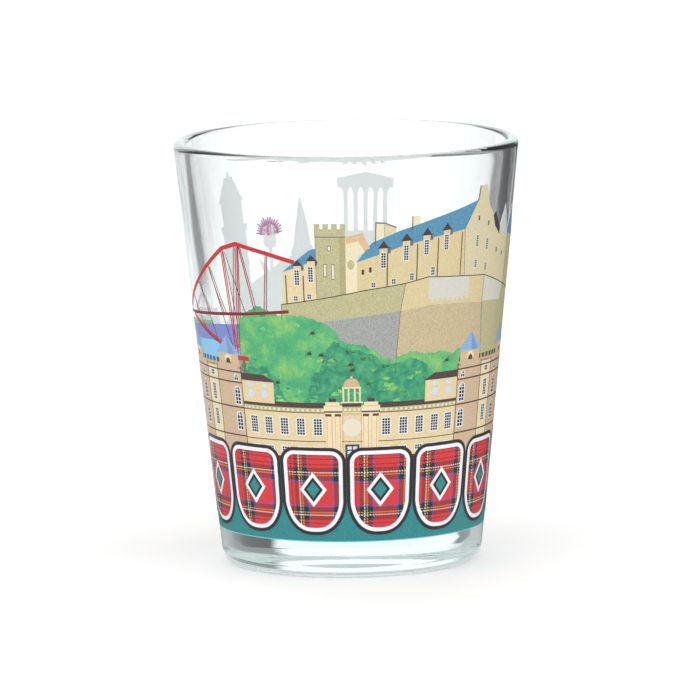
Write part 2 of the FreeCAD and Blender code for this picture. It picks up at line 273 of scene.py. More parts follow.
# ---- town hall
def hall():
    l0, r0, c = -45.5, 45.4, 0.7
    pl, pr = -9.5, 11.0
    put("ink_sandstone", 6, rect(l0, r0, 17.4, 25.0))
    for t0, t1 in ((l0, pl), (pr, r0)):
        put("ink_dark_brown", 7, rect(t0, t1, 25.2, 25.85))
        put("ink_khaki", 7, rect(t0, t1, 24.4, 25.2))
        put("ink_dark_brown", 8, rect(t0, t1, 25.08, 25.22))
        put("ink_dark_brown", 8, rect(t0, t1, 24.34, 24.46))
        n = int((t1 - t0) / 2.0)
        for i in range(n):
            put("ink_stone_light", 9, box(t0 + (i + 0.5) * (t1 - t0) / n, 24.77, 0.36, 0.36))
        put("ink_dark_brown", 7, rect(t0, t1, 20.14, 20.26))
        put("ink_dark_brown", 7, rect(t0, t1, 17.4, 17.95))
    for t in (-40.5, -33.5, -26.5, -19.6, -12.7, 14.1, 21.1, 27.9, 34.8, 41.6):
        panes(t, 22.32, 1.4, 2.6, 3, 6, 7)
        panes(t, 19.0, 1.32, 0.86, 3, 2, 7)
    # central bay: pilasters, roundel, door
    put("ink_stone_light", 7, rect(pl, pr, 17.6, 25.2))
    put("ink_stone_shade", 8, rect(-3.2, 4.6, 17.6, 24.4))
    put("ink_sandstone", 9, rect(-2.6, 4.0, 17.6, 24.1))
    for t0, t1 in ((pl - 0.6, -3.0), (4.4, pr + 0.6)):
        put("ink_stone_light", 9, rect(t0, t1, 24.4, 25.5))
        put("ink_dark_brown", 10, rect(t0 + 0.5, t0 + 2.9, 23.9, 24.25), rect(t1 - 2.9, t1 - 0.5, 23.9, 24.25))
        put("ink_dark_brown", 10, rect(t0, t1, 24.46, 24.68))
    put("ink_dark_brown", 8, rect(-3.0, 4.4, 25.3, 25.85))
    put("ink_khaki", 8, rect(-3.0, 4.4, 24.5, 25.3))
    for i in range(4):
        put("ink_stone_light", 9, box(-1.8 + i * 1.75, 24.9, 0.34, 0.34))
    for t in (-8.0, -4.8, 6.2, 9.4):
        put("ink_stone_light", 9, rect(t - 1.1, t + 1.1, 18.6, 23.9))
        put("ink_stone_shade", 10, rect(t + 0.72, t + 1.1, 18.6, 23.9))
        put("ink_stone_shade", 10, rect(t - 1.1, t - 0.85, 18.6, 23.9))
        put("ink_dark_brown", 10, rect(t - 1.3, t + 1.3, 18.2, 18.55))
    put("ink_parapet", 10, disc(c, 22.3, 1.38, n=40))
    put("ink_roundel", 11, disc(c, 22.3, 1.3, n=40))
    put("ink_dark_brown", 9, rect(-3.4, 4.8, 20.16, 20.26))
    put("ink_dark_brown", 10, rect(c - 2.8, c + 2.8, 17.4, 19.8))
    for i in range(2):
        for j in range(3):
            put("ink_pane_blue", 11, box(c - 1.1 + i * 2.2, 17.95 + j * 0.66, 0.6, 0.46))
    put("ink_dark_brown", 8, rect(pl - 1.0, pr + 1.0, 17.4, 17.9))
    for t in (-6.7, 8.1):
        put("ink_stone_light", 10, rect(t - 2.7, t + 2.7, 25.4, 26.0))
        put("ink_stone_shade", 11, rect(t - 2.7, t + 2.7, 25.36, 25.48))
        put("ink_dark_brown", 10, rect(t - 1.4, t + 1.4, 26.0, 26.55))
    # cupola: open lantern with a dome
    put("ink_stone_light", 8, rect(c - 4.2, c + 4.2, 25.8, 26.05))
    for x in (-1.18, -0.44, 0.44, 1.18):
        put("ink_stone_light", 8, box(c + x / mm_deg(27), 27.0, 0.24, 2.1))
    put("ink_stone_light", 8, box(c, 28.1, 2.7, 0.26))
    put("ink_peach", 9, disc(c, 28.2, 1.18, 1.3, n=20, a0=0, a1=math.pi))
    put("ink_stone_light", 9, box(c, 29.55, 0.3, 0.4))
    # side pavilions
    for t0, t1, s in ((l0, -30.2, 1), (30.0, r0, -1)):
        put("ink_sandstone", 8, rect(t0, t1, 25.5, 28.65))
        roof = [(t0, 28.6), (t1 + 0.9, 28.6), (t1 - 4.2, 29.62), (t0, 29.62)] if s == 1 else [(t0 - 0.9, 28.6), (t1, 28.6), (t1, 29.62), (t0 + 4.2, 29.62)]
        put("ink_dark_brown", 9, roof)
        m = (t0 + t1) / 2
        for d in (-3.2, 3.2):
            put("ink_pane_blue", 9, box(m + d, 28.05, 0.95, 0.5))
            put("ink_pane_blue", 9, box(m + d, 26.85, 0.95, 1.05))


def tower(side):
    """A town tower: a bay of arched windows, a light bay of sash windows, another arched bay."""
    a, b, c, d = side * 45.45, side * 60.2, side * 69.0, side * 86.6
    lo, hi = min(a, d), max(a, d)
    put("ink_tan", 6, rect(lo, hi, 15.5, 30.5))
    put("ink_stone_light", 7, rect(min(b, c), max(b, c), 15.5, 30.4))
    put("ink_stone_shade", 7, rect(min(a, a + side * 1.3), max(a, a + side * 1.3), 15.5, 30.4))
    for z in (20.3, 24.45, 28.1, 29.62):
        put("ink_dark_brown", 9, rect(lo, hi, z - 0.1, z + 0.1))
    for t in (a, b, c, d):
        put("ink_dark_brown", 8, rect(t - 0.2, t + 0.2, 15.5, 30.5))
    for t in (a + side * 2.9, c + side * 5.2):
        for zc in (22.5, 26.2):
            panes(t, zc, 1.34, 2.8, 2, 5, 8, arch=True)
        panes(t, 28.86, 1.0, 1.05, 2, 2, 8, arch=True)
    wb = (b + c) / 2
    for zc in (22.5, 26.2):
        panes(wb, zc, 1.1, 2.5, 2, 6, 8)
    panes(wb, 29.0, 1.1, 0.9, 2, 2, 8)
    # battlements and stair turrets with little pyramid caps
    put("ink_tan", 7, rect(lo, hi, 30.1, 30.7))
    t = lo + 0.4
    while t < hi - 1.4:
        put("ink_dark_brown", 6, rect(t, t + 1.7, 30.6, 31.35))
        t += 2.9
    for m in (side * 52.2, side * 79.5):
        w = 5.9
        put("ink_stone_shade", 7, rect(m - w, m + w, 30.6, 32.2))
        put("ink_tan", 8, rect(m - w, m + w, 30.6, 31.0))
        put("ink_stone_light", 8, local(m, 31.3, [(-0.76, -0.5), (0.76, -0.5)] + [(0.76 * math.cos(x), 0.2 + 0.6 * math.sin(x)) for x in [math.pi * i / 10 for i in range(11)]]))
        put("ink_dark_brown", 9, local(m, 31.2, [(-0.46, -0.4), (0.46, -0.4), (0.46, 0.1), (0, 0.42), (-0.46, 0.1)]))
        put("ink_pale_blue", 8, [(m - w - 1.2, 32.15), (m + w + 1.2, 32.15), (m, 34.9)])
        for j in range(1, 6):
            f = j / 6
            put("ink_pale_blue_line", 9, bar((m - (w + 1.1) * (1 - f), 32.15 + 2.75 * f), (m + (w + 1.1) * (1 - f), 32.15 + 2.75 * f), 0.045))
        put("ink_pale_blue_line", 9, [(m, 34.8), (m + 0.4, 32.2), (m + 4.4, 32.2)])


# ---- trees: an outline of small lobes, darker and lighter clumps inside
def foliage(ink, layer, base, z_floor, lobe=0.75, seed=3):
    r = random.Random(seed)
    out = []
    for (t0, z0), (t1, z1) in zip(base, base[1:]):
        k = mm_deg((z0 + z1) / 2)
        dist = math.hypot((t1 - t0) * k, z1 - z0)
        m = max(1, int(dist / lobe * 1.25))
        for i in range(m):
            f = (i + 0.5) / m + r.uniform(-0.15, 0.15) / m
            out.append((t0 + (t1 - t0) * f, z0 + (z1 - z0) * f - lobe * 0.45, lobe * r.uniform(0.5, 0.85)))
    for t, z, s in out:
        n = 16
        ph = r.uniform(0, 6)
        pts = []
        for i in range(n):
            a = 2 * math.pi * i / n
            rr = s * (1 + 0.12 * math.sin(5 * a + ph) + r.uniform(-0.05, 0.05))
            pts.append((rr * math.cos(a), rr * 0.92 * math.sin(a)))
        put(ink, layer, local(t, z, pts))
    body = [(t, z - lobe * 0.4) for t, z in base]
    put(ink, layer, [(base[0][0], z_floor), (base[-1][0], z_floor)] + list(reversed(body)))


def clumps(top, z_floor, t0, t1, count, seed, layer, inks, size=1.0):
    r = random.Random(seed)
    for _ in range(count):
        t = r.uniform(t0, t1)
        zt = lerp_line(top, t)
        z = r.uniform(z_floor, zt - 0.9)
        s = size * r.uniform(0.2, 0.62)
        n = 13
        ph = r.uniform(0, 6)
        pts = []
        for i in range(n):
            a = 2 * math.pi * i / n
            rr = s * (1 + 0.3 * math.sin(3 * a + ph) + r.uniform(-0.2, 0.2))
            pts.append((rr * math.cos(a), rr * 0.5 * math.sin(a)))
        high = (z - z_floor) / max(0.1, zt - z_floor)
        ink = inks[0] if r.random() > 0.25 + 0.55 * high else inks[1]
        put(ink, layer, local(t, z, pts))


TREE_TOP = [(-45.0, 25.4), (-44.9, 29.2), (-43.6, 30.9), (-43.4, 33.0), (-44.2, 35.6), (-42.6, 37.4), (-38.9, 38.9), (-34.5, 39.6), (-31.5, 39.1),
            (-25.3, 38.4), (-18.3, 38.5), (-13.0, 37.9), (-8.6, 37.2), (-5.2, 36.0), (-3.4, 34.6), (2.6, 34.4), (9.2, 33.5), (12.4, 32.0), (17.9, 32.1),
            (24.6, 33.0), (28.1, 32.4), (37.0, 32.6), (43.0, 32.0), (46.2, 32.8), (46.4, 25.4)]


def trees():
    foliage("ink_green", 4, TREE_TOP, 25.4, seed=5)
    clumps(TREE_TOP, 26, -42, 44, 60, 7, 5, ("ink_green_dark", "ink_green_light"))
    for pts, seed in (([(-17.5, 25.6), (-14.6, 27.6), (-13.4, 29.9), (-10.2, 30.6), (-8.4, 33.0), (-5.2, 34.8), (-3.0, 34.0), (2.6, 33.6), (9.0, 32.6), (12.4, 31.2), (18.4, 31.4), (24.6, 32.0), (29.8, 31.0), (33.4, 29.2), (35.0, 27.0), (38.0, 25.6)], 51),
                      ([(-43.6, 25.6), (-42.8, 29.4), (-40.0, 31.0), (-37.0, 30.2), (-33.8, 31.0), (-31.0, 29.0), (-28.4, 28.4), (-26.6, 26.6), (-23.4, 25.6)], 52)):
        foliage("ink_green_dark", 5, pts, pts[0][1], lobe=0.66, seed=seed)
        clumps(pts, 26, pts[0][0] + 3, pts[-1][0] - 3, 26, seed, 6, ("ink_green", "ink_green_light"))
    r = random.Random(21)
    for t, z in ((-15.0, 33.0), (-10.4, 32.8), (0.4, 31.4), (1.2, 30.6), (-28.2, 28.6), (-13.4, 36.0), (39.4, 31.2)):
        put("ink_bark", 7, local(t, z, [(-0.5 * r.uniform(0.6, 1), 0.05), (-0.1, -0.18), (0.55 * r.uniform(0.6, 1), -0.1), (0.3, 0.22), (-0.05, 0.34)]))
        line("ink_bark", 7, [(t - 1.6, z - 0.25), (t, z), (t + 0.9, z + 0.5)], 0.1)


# ---- castle on its rock
WALL_FOOT = [(-24.7, 40.1), (-9.2, 41.1), (5.4, 42.2), (20.7, 43.0), (29.5, 43.7), (48.1, 43.2), (57.3, 42.9), (76.8, 40.6), (86, 39.5)]


def castle():
    wf = lambda t: lerp_line(WALL_FOOT, t)
    # rock and retaining walls
    put("ink_grey", 1, [(-24, 28), (17.6, 28), (17.9, 33.7), (19.0, 39.2), (4.5, 38.6), (-9.5, 37.9), (-24.8, 37.6)])
    put("ink_rock_tan", 1, [(17.4, 28), (59.5, 28), (57.0, 39.2), (49.0, 39.6), (30.4, 39.9), (19.0, 39.3), (17.9, 33.7)])
    put("ink_khaki", 2, [(-25.2, 37.6), (-9.5, 37.7), (4.5, 38.4), (19.0, 39.0), (20.7, 43.0), (5.4, 42.2), (-9.2, 41.1), (-24.7, 40.1)])
    put("ink_rock_tan_light", 2, [(19.0, 39.0), (30.4, 39.6), (49.0, 39.3), (57.0, 38.9), (57.4, 42.9), (48.1, 43.2), (29.5, 43.7), (20.7, 43.0)])
    put("ink_khaki", 2, [(57.0, 38.9), (59.0, 28), (86, 28), (86, 39.5), (76.8, 40.6), (57.3, 42.9)])
    put("ink_parapet", 3, [(30.0, 40.5), (49.2, 40.2), (48.3, 43.2), (29.9, 43.6)])
    for i in range(8):
        t = 31.3 + i * 2.3
        put("ink_parapet", 4, box(t, 40.25, 0.46, 0.7))
    put("ink_parapet", 3, [(57.1, 39.1), (72, 38.6), (74.6, 40.9), (57.3, 42.9)])
    line("ink_black", 7, WALL_FOOT, 0.12)
    line("ink_outline_grey", 5, [(17.4, 30), (17.9, 33.7), (19.0, 39.1), (20.7, 43.0)], 0.07)
    line("ink_outline_grey", 5, [(58.9, 30), (57.0, 39.0), (57.4, 42.8)], 0.09)
    line("ink_outline_grey", 5, [(-24.9, 37.8), (-24.7, 40.1)], 0.09)
    # west lodge with a blue roof
    put("ink_sandstone", 3, [(-24.2, 40.1), (-10.9, 41.0), (-10.9, 47.0), (-23.4, 44.9)])
    put("ink_slate_blue", 4, [(-24.0, 44.75), (-10.9, 46.7), (-10.9, 48.4), (-13.4, 48.15)])
    for t, z in ((-17.9, 45.6), (-12.9, 46.35)):
        put("ink_sandstone", 5, box(t, z - 0.2, 1.1, 0.9))
        put("ink_outline_grey", 5, local(t, z, [(0.55, -0.5), (0.95, -0.4), (0.95, 0.3), (0.55, 0.3)]))
        put("ink_dormer", 6, local(t, z + 0.15, [(-0.8, 0), (0.8, 0.08), (0.05, 0.95)]))
    for t, z in ((-18.2, 44.1), (-13.2, 44.6)):
        panes(t, z, 0.82, 2.3, 2, 6, 6)
        panes(t - 0.8, wf(t) + 0.55, 0.7, 0.8, 2, 2, 6)
    for t in (-22.4, -15.9):
        put("ink_bark", 6, rect(t - 0.2, t + 0.2, wf(t), 44.4))
    # keep: square khaki tower with battlements and loops
    put("ink_khaki", 5, rect(-11.2, -0.8, 41.0, 51.2))
    for i in range(4):
        t = -11.4 + i * 2.96
        put("ink_khaki", 5, rect(t, t + 1.9, 51.1, 51.95))
    put("ink_khaki_dark", 6, rect(-2.9, -0.8, 41.6, 50.0))
    put("ink_outline_grey", 7, rect(-11.4, -0.6, 50.0, 50.12))
    line("ink_outline_grey", 7, [(-11.2, 41.1), (-11.2, 51.2)], 0.07)
    for t, z, h in ((-8.0, 45.2, 1.9), (-5.2, 45.0, 2.2), (-6.4, 48.4, 0.8)):
        put("ink_outline_grey", 7, box(t, z, 0.5, h))
        put("ink_roundel", 8, box(t, z, 0.34, h - 0.2))
    # cream annexe with a tan roof
    put("ink_cream", 5, [(-0.8, 41.7), (3.2, 42.0), (3.2, 47.2), (7.6, 48.2), (5.2, 50.3), (-0.8, 49.9)])
    put("ink_stone_shade", 6, [(-0.6, 50.1), (5.2, 50.6), (7.7, 48.3), (5.6, 48.0), (3.6, 49.4), (-0.6, 49.0)])
    put("ink_khaki", 6, disc(1.0, 46.0, 0.5, 0.7, n=16))
    # long range, eaves rising to the right
    eave = [(3.2, 46.5), (18.3, 48.4), (30.9, 49.4), (45.0, 50.1)]
    put("ink_rock_tan_light", 4, [(3.0, 42.1), (20.7, 43.0), (29.5, 43.7), (45.7, 43.3), (45.0, 50.1), (30.9, 49.4), (18.3, 48.4), (3.2, 46.5)])
    put("ink_slate_blue", 5, [(2.8, 46.3), (18.3, 48.35), (30.9, 49.4), (44.9, 50.1), (50.9, 54.1), (30.6, 52.1), (18.2, 50.7), (8.2, 49.1)])
    for i, t in enumerate((12.4, 20.6, 28.3, 36.4)):
        e = lerp_line(eave, t)
        put("ink_rock_tan_light", 6, box(t, e + 0.1, 1.15, 1.0))
        put("ink_outline_grey", 6, local(t, e + 0.2, [(0.58, -0.4), (1.05, -0.3), (1.05, 0.6), (0.58, 0.6)]))
        put("ink_dormer", 7, local(t, e + 0.55, [(-0.85, 0), (0.85, 0.06), (0.05, 1.15)]))
        panes(t, e - 1.15, 0.82, 2.3, 2, 6, 7)
    for t in (13.8, 24.8, 33.0, 43.4):
        put("ink_bark", 7, rect(t - 0.2, t + 0.2, wf(t) + 0.1, lerp_line(eave, t) - 0.3))
    for t, h, n in ((8.9, 0.8, 2), (16.2, 0.85, 2), (22.9, 1.1, 3), (31.2, 1.3, 3)):
        panes(t, wf(t) + 0.2 + h / 2, 0.72, h, 2, n, 7)
    for t, z in ((5.2, 44.9), (7.8, 45.2)):
        put("ink_bark", 7, box(t, z, 0.36, 0.72))
    put("ink_cream", 4, [(9.4, 48.6), (9.6, 52.0), (12.8, 51.9), (12.8, 48.6)])
    put("ink_cream_dark", 4, [(12.6, 48.6), (12.6, 51.9), (16.8, 51.2), (16.8, 48.6)])
    put("ink_outline_grey", 5, [(9.3, 48.8), (9.5, 52.1), (12.8, 52.0), (16.9, 51.3), (16.9, 51.1), (12.8, 51.8), (9.9, 51.9), (9.7, 48.8)])
    put("ink_cream", 4, rect(22.9, 25.6, 50.4, 52.7))
    put("ink_outline_grey", 5, rect(22.5, 22.9, 50.6, 52.7))
    # gable house at the right with a tall stack, then a round turret
    put("ink_cream_dark", 6, [(45.6, 43.3), (57.3, 42.9), (76.4, 40.6), (76.4, 47.0), (72.1, 47.8), (64.5, 49.5), (57.2, 53.3), (55.1, 56.1),
                              (51.3, 56.1), (50.8, 54.1), (44.6, 50.1)])
    put("ink_outline_grey", 7, [(50.4, 54.0), (51.0, 54.0), (51.7, 56.1), (51.2, 56.1)])
    line("ink_outline_grey", 7, [(45.6, 43.3), (44.6, 50.1), (50.6, 54.1)], 0.08)
    for t, z, h, n in ((51.5, 48.1, 1.7, 5), (57.6, 47.4, 1.7, 5), (51.3, 44.8, 1.2, 4), (57.5, 44.1, 1.2, 4)):
        panes(t, z, 0.56, h, 2, n, 7)
    for t, z in ((51.7, 51.4), (57.6, 50.4), (64.9, 46.2), (70.2, 45.4)):
        put("ink_bark", 7, box(t, z, 0.32, 0.66))
    put("ink_khaki", 7, [(75.6, 40.7), (86, 39.5), (86, 47.2), (75.6, 48.2)])
    put("ink_slate_blue", 8, [(74.8, 48.2), (86.4, 47.2), (80.4, 52.1)])
    put("ink_dormer", 8, [(60.6, 51.4), (62.2, 51.9), (66.6, 49.4), (66.4, 48.4), (62.4, 49.8)])
    line("ink_outline_grey", 8, [(75.6, 40.8), (75.6, 48.2)], 0.12)
    for t in (78.5, 83.5):
        panes(t, 44.6, 0.5, 1.7, 1, 4, 9)


# ---- truss bridge over water
def bridge():
    put("ink_water_blue", 1, [(-103, 24), (-38, 24), (-38, 36.9), (-60, 36.2), (-78, 35.4), (-103, 35.2)])
    put("ink_sky_blue", 2, [(-103, 24), (-41.2, 24), (-41.6, 29.4), (-40.4, 30.6), (-40.9, 31.6), (-40.2, 32.6), (-41.4, 33.4), (-43.6, 33.1), (-52, 33.5),
                            (-62, 33.8), (-80, 33.4), (-103, 33.6)])
    put("ink_green_pale", 1, [(-100, 35.0), (-78, 35.3), (-60, 36.1), (-60, 36.7), (-78, 36.1), (-100, 36.0)])
    top = [(-90, 37.0), (-84, 38.0), (-77.6, 39.8), (-70.9, 41.6), (-59.7, 44.8), (-49.7, 47.6), (-42.3, 48.5), (-29.3, 47.4), (-19.0, 46.3)]
    red, dark = "ink_bridge_red", "ink_bridge_dark"
    for p, q, w in (((-50.2, 47.3), (-47.0, 32.2), 0.2), ((-49.4, 47.3), (-46.0, 32.2), 0.2), ((-42.6, 48.2), (-46.0, 32.2), 0.2), ((-41.8, 48.2), (-45.0, 32.2), 0.2),
                    ((-41.2, 48.2), (-36.2, 38.9), 0.2), ((-29.8, 47.3), (-32.0, 38.7), 0.17), ((-59.2, 44.6), (-51.6, 38.0), 0.17), ((-68.4, 42.0), (-61.4, 37.6), 0.16),
                    ((-77.0, 39.8), (-72, 37.3), 0.15)):
        put(red, 4, bar(p, q, w))
    for p, q in (((-49.0, 47.2), (-43.6, 33.6)), ((-48.4, 47.2), (-40.4, 38.4)), ((-43.4, 48.2), (-47.6, 34.0)), ((-41.4, 48.2), (-43.8, 33.2)), ((-40.6, 48.2), (-35.2, 38.9)),
                 ((-58.6, 44.6), (-48.4, 33.2)), ((-58.0, 44.6), (-50.2, 37.9)), ((-67.6, 42.0), (-57.2, 33.9)), ((-67.2, 42.0), (-60.4, 37.6)), ((-76.4, 39.8), (-66.2, 35.2)),
                 ((-29.2, 47.2), (-31.0, 38.8))):
        put(dark, 3, bar(p, q, 0.13))
    for a, b in zip(top, top[1:]):
        put(red, 5, bar(a, b, 0.62))
    for p in top[1:-1]:
        put(red, 5, disc(p[0], p[1], 0.31, n=12))
    line("ink_bridge_deck", 5, [(-90, 36.9), (-79.4, 37.1), (-59.2, 37.75), (-40.2, 38.35), (-22, 39.1)], 0.46)
    line(red, 6, [(-79.4, 36.9), (-66.0, 35.2), (-52.0, 33.2)], 0.46)
    line(dark, 5, [(-78.4, 36.6), (-62, 34.3), (-50.8, 32.8)], 0.2)
    put(red, 6, rect(-46.4, -40.8, 31.4, 32.1))
    put("ink_grey", 4, rect(-46.0, -42.4, 29.6, 31.4))


# ---- back of the glass: terraces, hill, clock tower, chapel, pavilion, flower
def back():
    left_top = [(LEFT_END, 42.0), (-158, 41.4), (-150, 40.0), (-140, 38.4), (-126, 35.8), (-108, 32.4), (-96, 30.0), (-90, 28.4)]
    right_top = [(88, 27.6), (96, 29.0), (112, 34.0), (128, 38.0), (148, 41.0), (161, 43.0), (184, 43.0), (RIGHT_END, 42.0)]
    for base, seed in ((left_top, 31), (right_top, 32)):
        lo, hi = base[0][0], base[-1][0]
        put("ink_hill", 1, [(lo, 24.0), (hi, 24.0)] + list(reversed(base)))
        inner = [p for p in base if LEFT_END + 1.5 < p[0] < RIGHT_END - 1.5]
        clumps(base, 27, lo + 2.5, hi - 2.5, 170, seed, 2, ("ink_green_dark", "ink_green_light"))
    # rows of trees behind the terraces
    for t0, t1, seed in ((-164, -96, 41), (96, 188, 42)):
        r = random.Random(seed)
        base = []
        t = t0
        while t < t1:
            base.append((t, 29.0 + r.uniform(-0.8, 2.2)))
            t += 4
        foliage("ink_green", 3, base, 24.4, lobe=0.9, seed=seed)
        clumps(base, 26, t0 + 1, t1 - 5, 60, seed + 5, 4, ("ink_green_dark", "ink_green_light"))
    # terraces
    edges = [88, 100, 113, 127, 141, 155, 168, RIGHT_END]
    edges2 = [LEFT_END, -156, -143, -129, -115, -101, -87]
    inks = ["ink_sandstone", "ink_cream", "ink_tan", "ink_peach", "ink_khaki", "ink_rock_tan_light"]
    n = 0
    for es in (edges, edges2):
        for t0, t1 in zip(es, es[1:]):
            h = 26.9 if n % 2 == 0 else 25.4
            put(inks[n % len(inks)], 6, rect(t0, t1, 17.4, h))
            put("ink_outline_grey", 7, rect(t0, t0 + 0.3, 17.4, h))
            put("ink_dark_brown", 8, rect(t0, t1, h - 0.1, h + 0.12))
            m = (t0 + t1) / 2
            if n % 3 == 0:
                put("ink_slate_blue", 5, [(t0, h), (t1, h), (t1 - 1.8, h + 2.6), (t0 + 1.8, h + 2.6)])
                for d in (-3.0, 3.0):
                    put("ink_cream", 6, box(m + d, h + 1.0, 1.1, 1.1))
                    put("ink_dormer", 7, local(m + d, h + 1.5, [(-0.75, 0), (0.75, 0), (0, 0.8)]))
                    panes(m + d, h + 0.95, 0.6, 0.7, 2, 2, 8)
            elif n % 3 == 1:
                put("ink_dark_brown", 5, rect(t0 + 0.2, t1 - 0.2, h, h + 1.6))
                put("ink_tan", 6, box(m + 3.2, h + 1.9, 1.2, 1.4))
                put("ink_tan", 6, box(m - 3.4, h + 1.9, 1.2, 1.4))
            else:
                put("ink_slate_blue", 5, [(t0, h), (t1, h), (m, h + 3.9)])
                put(inks[n % len(inks)], 6, [(t0 + 1.6, h), (t1 - 1.6, h), (m, h + 2.9)])
                put("ink_white", 7, disc(m, h + 1.2, 0.42, n=16))
                put("ink_black", 8, disc(m, h + 1.2, 0.26, n=16))
            for d in (-3.9, 0.0, 3.9):
                for zc in (24.0, 21.6):
                    panes(m + d, zc, 0.95, 1.5, 2, 3, 8)
            for d in (-3.9, 3.9):
                panes(m + d, 19.0, 0.95, 1.5, 2, 3, 8)
            put("ink_bridge_red" if n % 2 else "ink_teal", 8, box(m, 18.7, 0.95, 2.4))
            n += 1
    # clock tower
    c = -128.5
    put("ink_rock_tan_light", 3, rect(c - 7.4, c + 7.4, 27, 46.0))
    put("ink_cream_dark", 4, rect(c - 7.4, c - 5.4, 27, 46.0), rect(c + 5.4, c + 7.4, 27, 46.0))
    put("ink_cream", 4, rect(c - 8.2, c + 8.2, 45.6, 46.6), rect(c - 7.8, c + 7.8, 40.6, 41.2))
    put("ink_rock_tan_light", 3, rect(c - 6.4, c + 6.4, 46.4, 50.4))
    put("ink_slate_blue", 4, [(c - 7.0, 50.2), (c + 7.0, 50.2), (c + 2.2, 53.6), (c - 2.2, 53.6)])
    put("ink_cream", 5, rect(c - 7.2, c + 7.2, 50.0, 50.5))
    put("ink_white", 5, disc(c, 48.4, 1.5, n=36))
    put("ink_black", 4, disc(c, 48.4, 1.68, n=36))
    put("ink_black", 6, bar((c, 48.4), (c, 49.5), 0.16), bar((c, 48.4), (c + 2.0, 48.0), 0.16))
    for z in (43.2, 38.4, 34.6, 31.0):
        for d in (-2.6, 2.6):
            panes(c + d, z, 0.9, 2.2, 2, 4, 5, arch=True)
    put("ink_outline_grey", 4, rect(c - 0.4, c + 0.4, 53.5, 54.3))
    # chapel with a spire
    c = -161.8
    put("ink_grey", 3, rect(c - 4.6, c + 4.6, 30, 41.6))
    put("ink_parapet", 4, [(c - 4.8, 41.6), (c + 4.8, 41.6), (c + 4.0, 42.6), (c - 4.0, 42.6)])
    put("ink_grey", 3, [(c - 3.6, 42.4), (c + 3.6, 42.4), (c + 2.6, 45.0), (c + 0.25, 49.6), (c - 0.25, 49.6), (c - 2.6, 45.0)])
    put("ink_outline_grey", 4, bar((c, 43.2), (c, 48.6), 0.08))
    for z in (39.4, 35.6):
        for d in (-2.0, 2.0):
            panes(c + d, z, 0.62, 2.0, 1, 3, 4, arch=True)
    # columned pavilion
    c = 172.9
    put("ink_parapet", 3, rect(c - 11.5, c + 11.5, 42.6, 43.6), rect(c - 10.3, c + 10.3, 43.5, 44.5))
    for i in range(5):
        t = c - 7.6 + i * 3.8
        put("ink_parapet", 4, rect(t - 0.78, t + 0.78, 44.4, 50.9))
        put("ink_outline_grey", 5, rect(t + 0.4, t + 0.56, 44.6, 50.4))
        put("ink_parapet", 4, local(t, 50.5, [(-0.36, -0.3), (0.36, -0.3), (0.62, 0.42), (-0.62, 0.42)]))
    put("ink_parapet", 3, rect(c - 10.6, c + 10.6, 50.85, 52.3))
    put("ink_parapet", 3, [(c - 9.6, 52.3), (c + 9.6, 52.3), (c, 53.1)])
    put("ink_outline_grey", 4, rect(c - 10.6, c + 10.6, 51.5, 51.6), rect(c - 11.5, c + 11.5, 43.1, 43.2))
    # flower: pink ink runs past the white underbase, so its edge is translucent pink
    c = -147.6
    r = random.Random(9)
    put("ink_green", 3, local(c, 40, [(-0.22, -7), (0.22, -7), (0.3, 3.4), (-0.3, 3.4)], 40))
    for s in (-1, 1):
        put("ink_green", 3, local(c, 38.5, [(0, 0), (s * 1.0, 1.6), (s * 2.3, 2.7), (s * 1.7, 1.0), (s * 0.6, -0.6)] if s > 0 else [(s * 0.6, -0.6), (s * 1.7, 1.0), (s * 2.3, 2.7), (s * 1.0, 1.6), (0, 0)]))
        put("ink_green_dark", 4, local(c, 36.0, [(0, 0), (s * 1.4, 1.2), (s * 2.0, 1.9), (s * 0.9, -0.2)] if s > 0 else [(s * 0.9, -0.2), (s * 2.0, 1.9), (s * 1.4, 1.2), (0, 0)]))
    put("ink_green", 3, disc(c, 43.6, 1.25, 1.05, n=20))
    petals = []
    for i in range(17):
        a = math.radians(8 + i * 164 / 16)
        ln = 2.55 + r.uniform(-0.2, 0.25)
        w = 0.32
        petals.append(local(c, 44.6, [(-w * math.sin(a), w * math.cos(a) * 0.6), (ln * math.cos(a) - 0.1 * math.sin(a), ln * math.sin(a) * 0.98 + 0.1 * math.cos(a)),
                                      (ln * math.cos(a) + 0.1 * math.sin(a), ln * math.sin(a) * 0.98 - 0.1 * math.cos(a)), (w * math.sin(a), -w * math.cos(a) * 0.6)]))
    put("ink_pink", 3, *petals)
    put("ink_pink", 3, disc(c, 44.6, 1.8, 1.6, n=30, a0=0, a1=math.pi))


shields()
hall()
tower(-1)
tower(1)
trees()
castle()
bridge()
back()


# ---- film meshes
LAYER_STEP, LAYER_0, WHITE_TOP, EMBED = 0.0042, 0.030, 0.026, -0.018


def on_cone(t, z, off):
    """Point on the glass's 1-degree faceted outside, off mm proud of it, in metres."""
    g = math.floor(t)
    f = t - g
    r = outer_r(z) + off / COS_A
    a, b = math.radians(g), math.radians(g + 1)
    x = r * (math.sin(a) * (1 - f) + math.sin(b) * f)
    y = -r * (math.cos(a) * (1 - f) + math.cos(b) * f)
    return (x * 1e-3, y * 1e-3, z * 1e-3)


def clean(poly):
    """Counter-clockwise, no repeated points."""
    out = []
    for p in poly:
        if not out or abs(p[0] - out[-1][0]) + abs(p[1] - out[-1][1]) > 1e-5:
            out.append(p)
    if len(out) > 2 and abs(out[0][0] - out[-1][0]) + abs(out[0][1] - out[-1][1]) < 1e-5:
        out.pop()
    area = sum(out[i - 1][0] * out[i][1] - out[i][0] * out[i - 1][1] for i in range(len(out)))
    if abs(area) < 1e-7 or len(out) < 3:
        return None
    if area < 0:
        out.reverse()
    return out


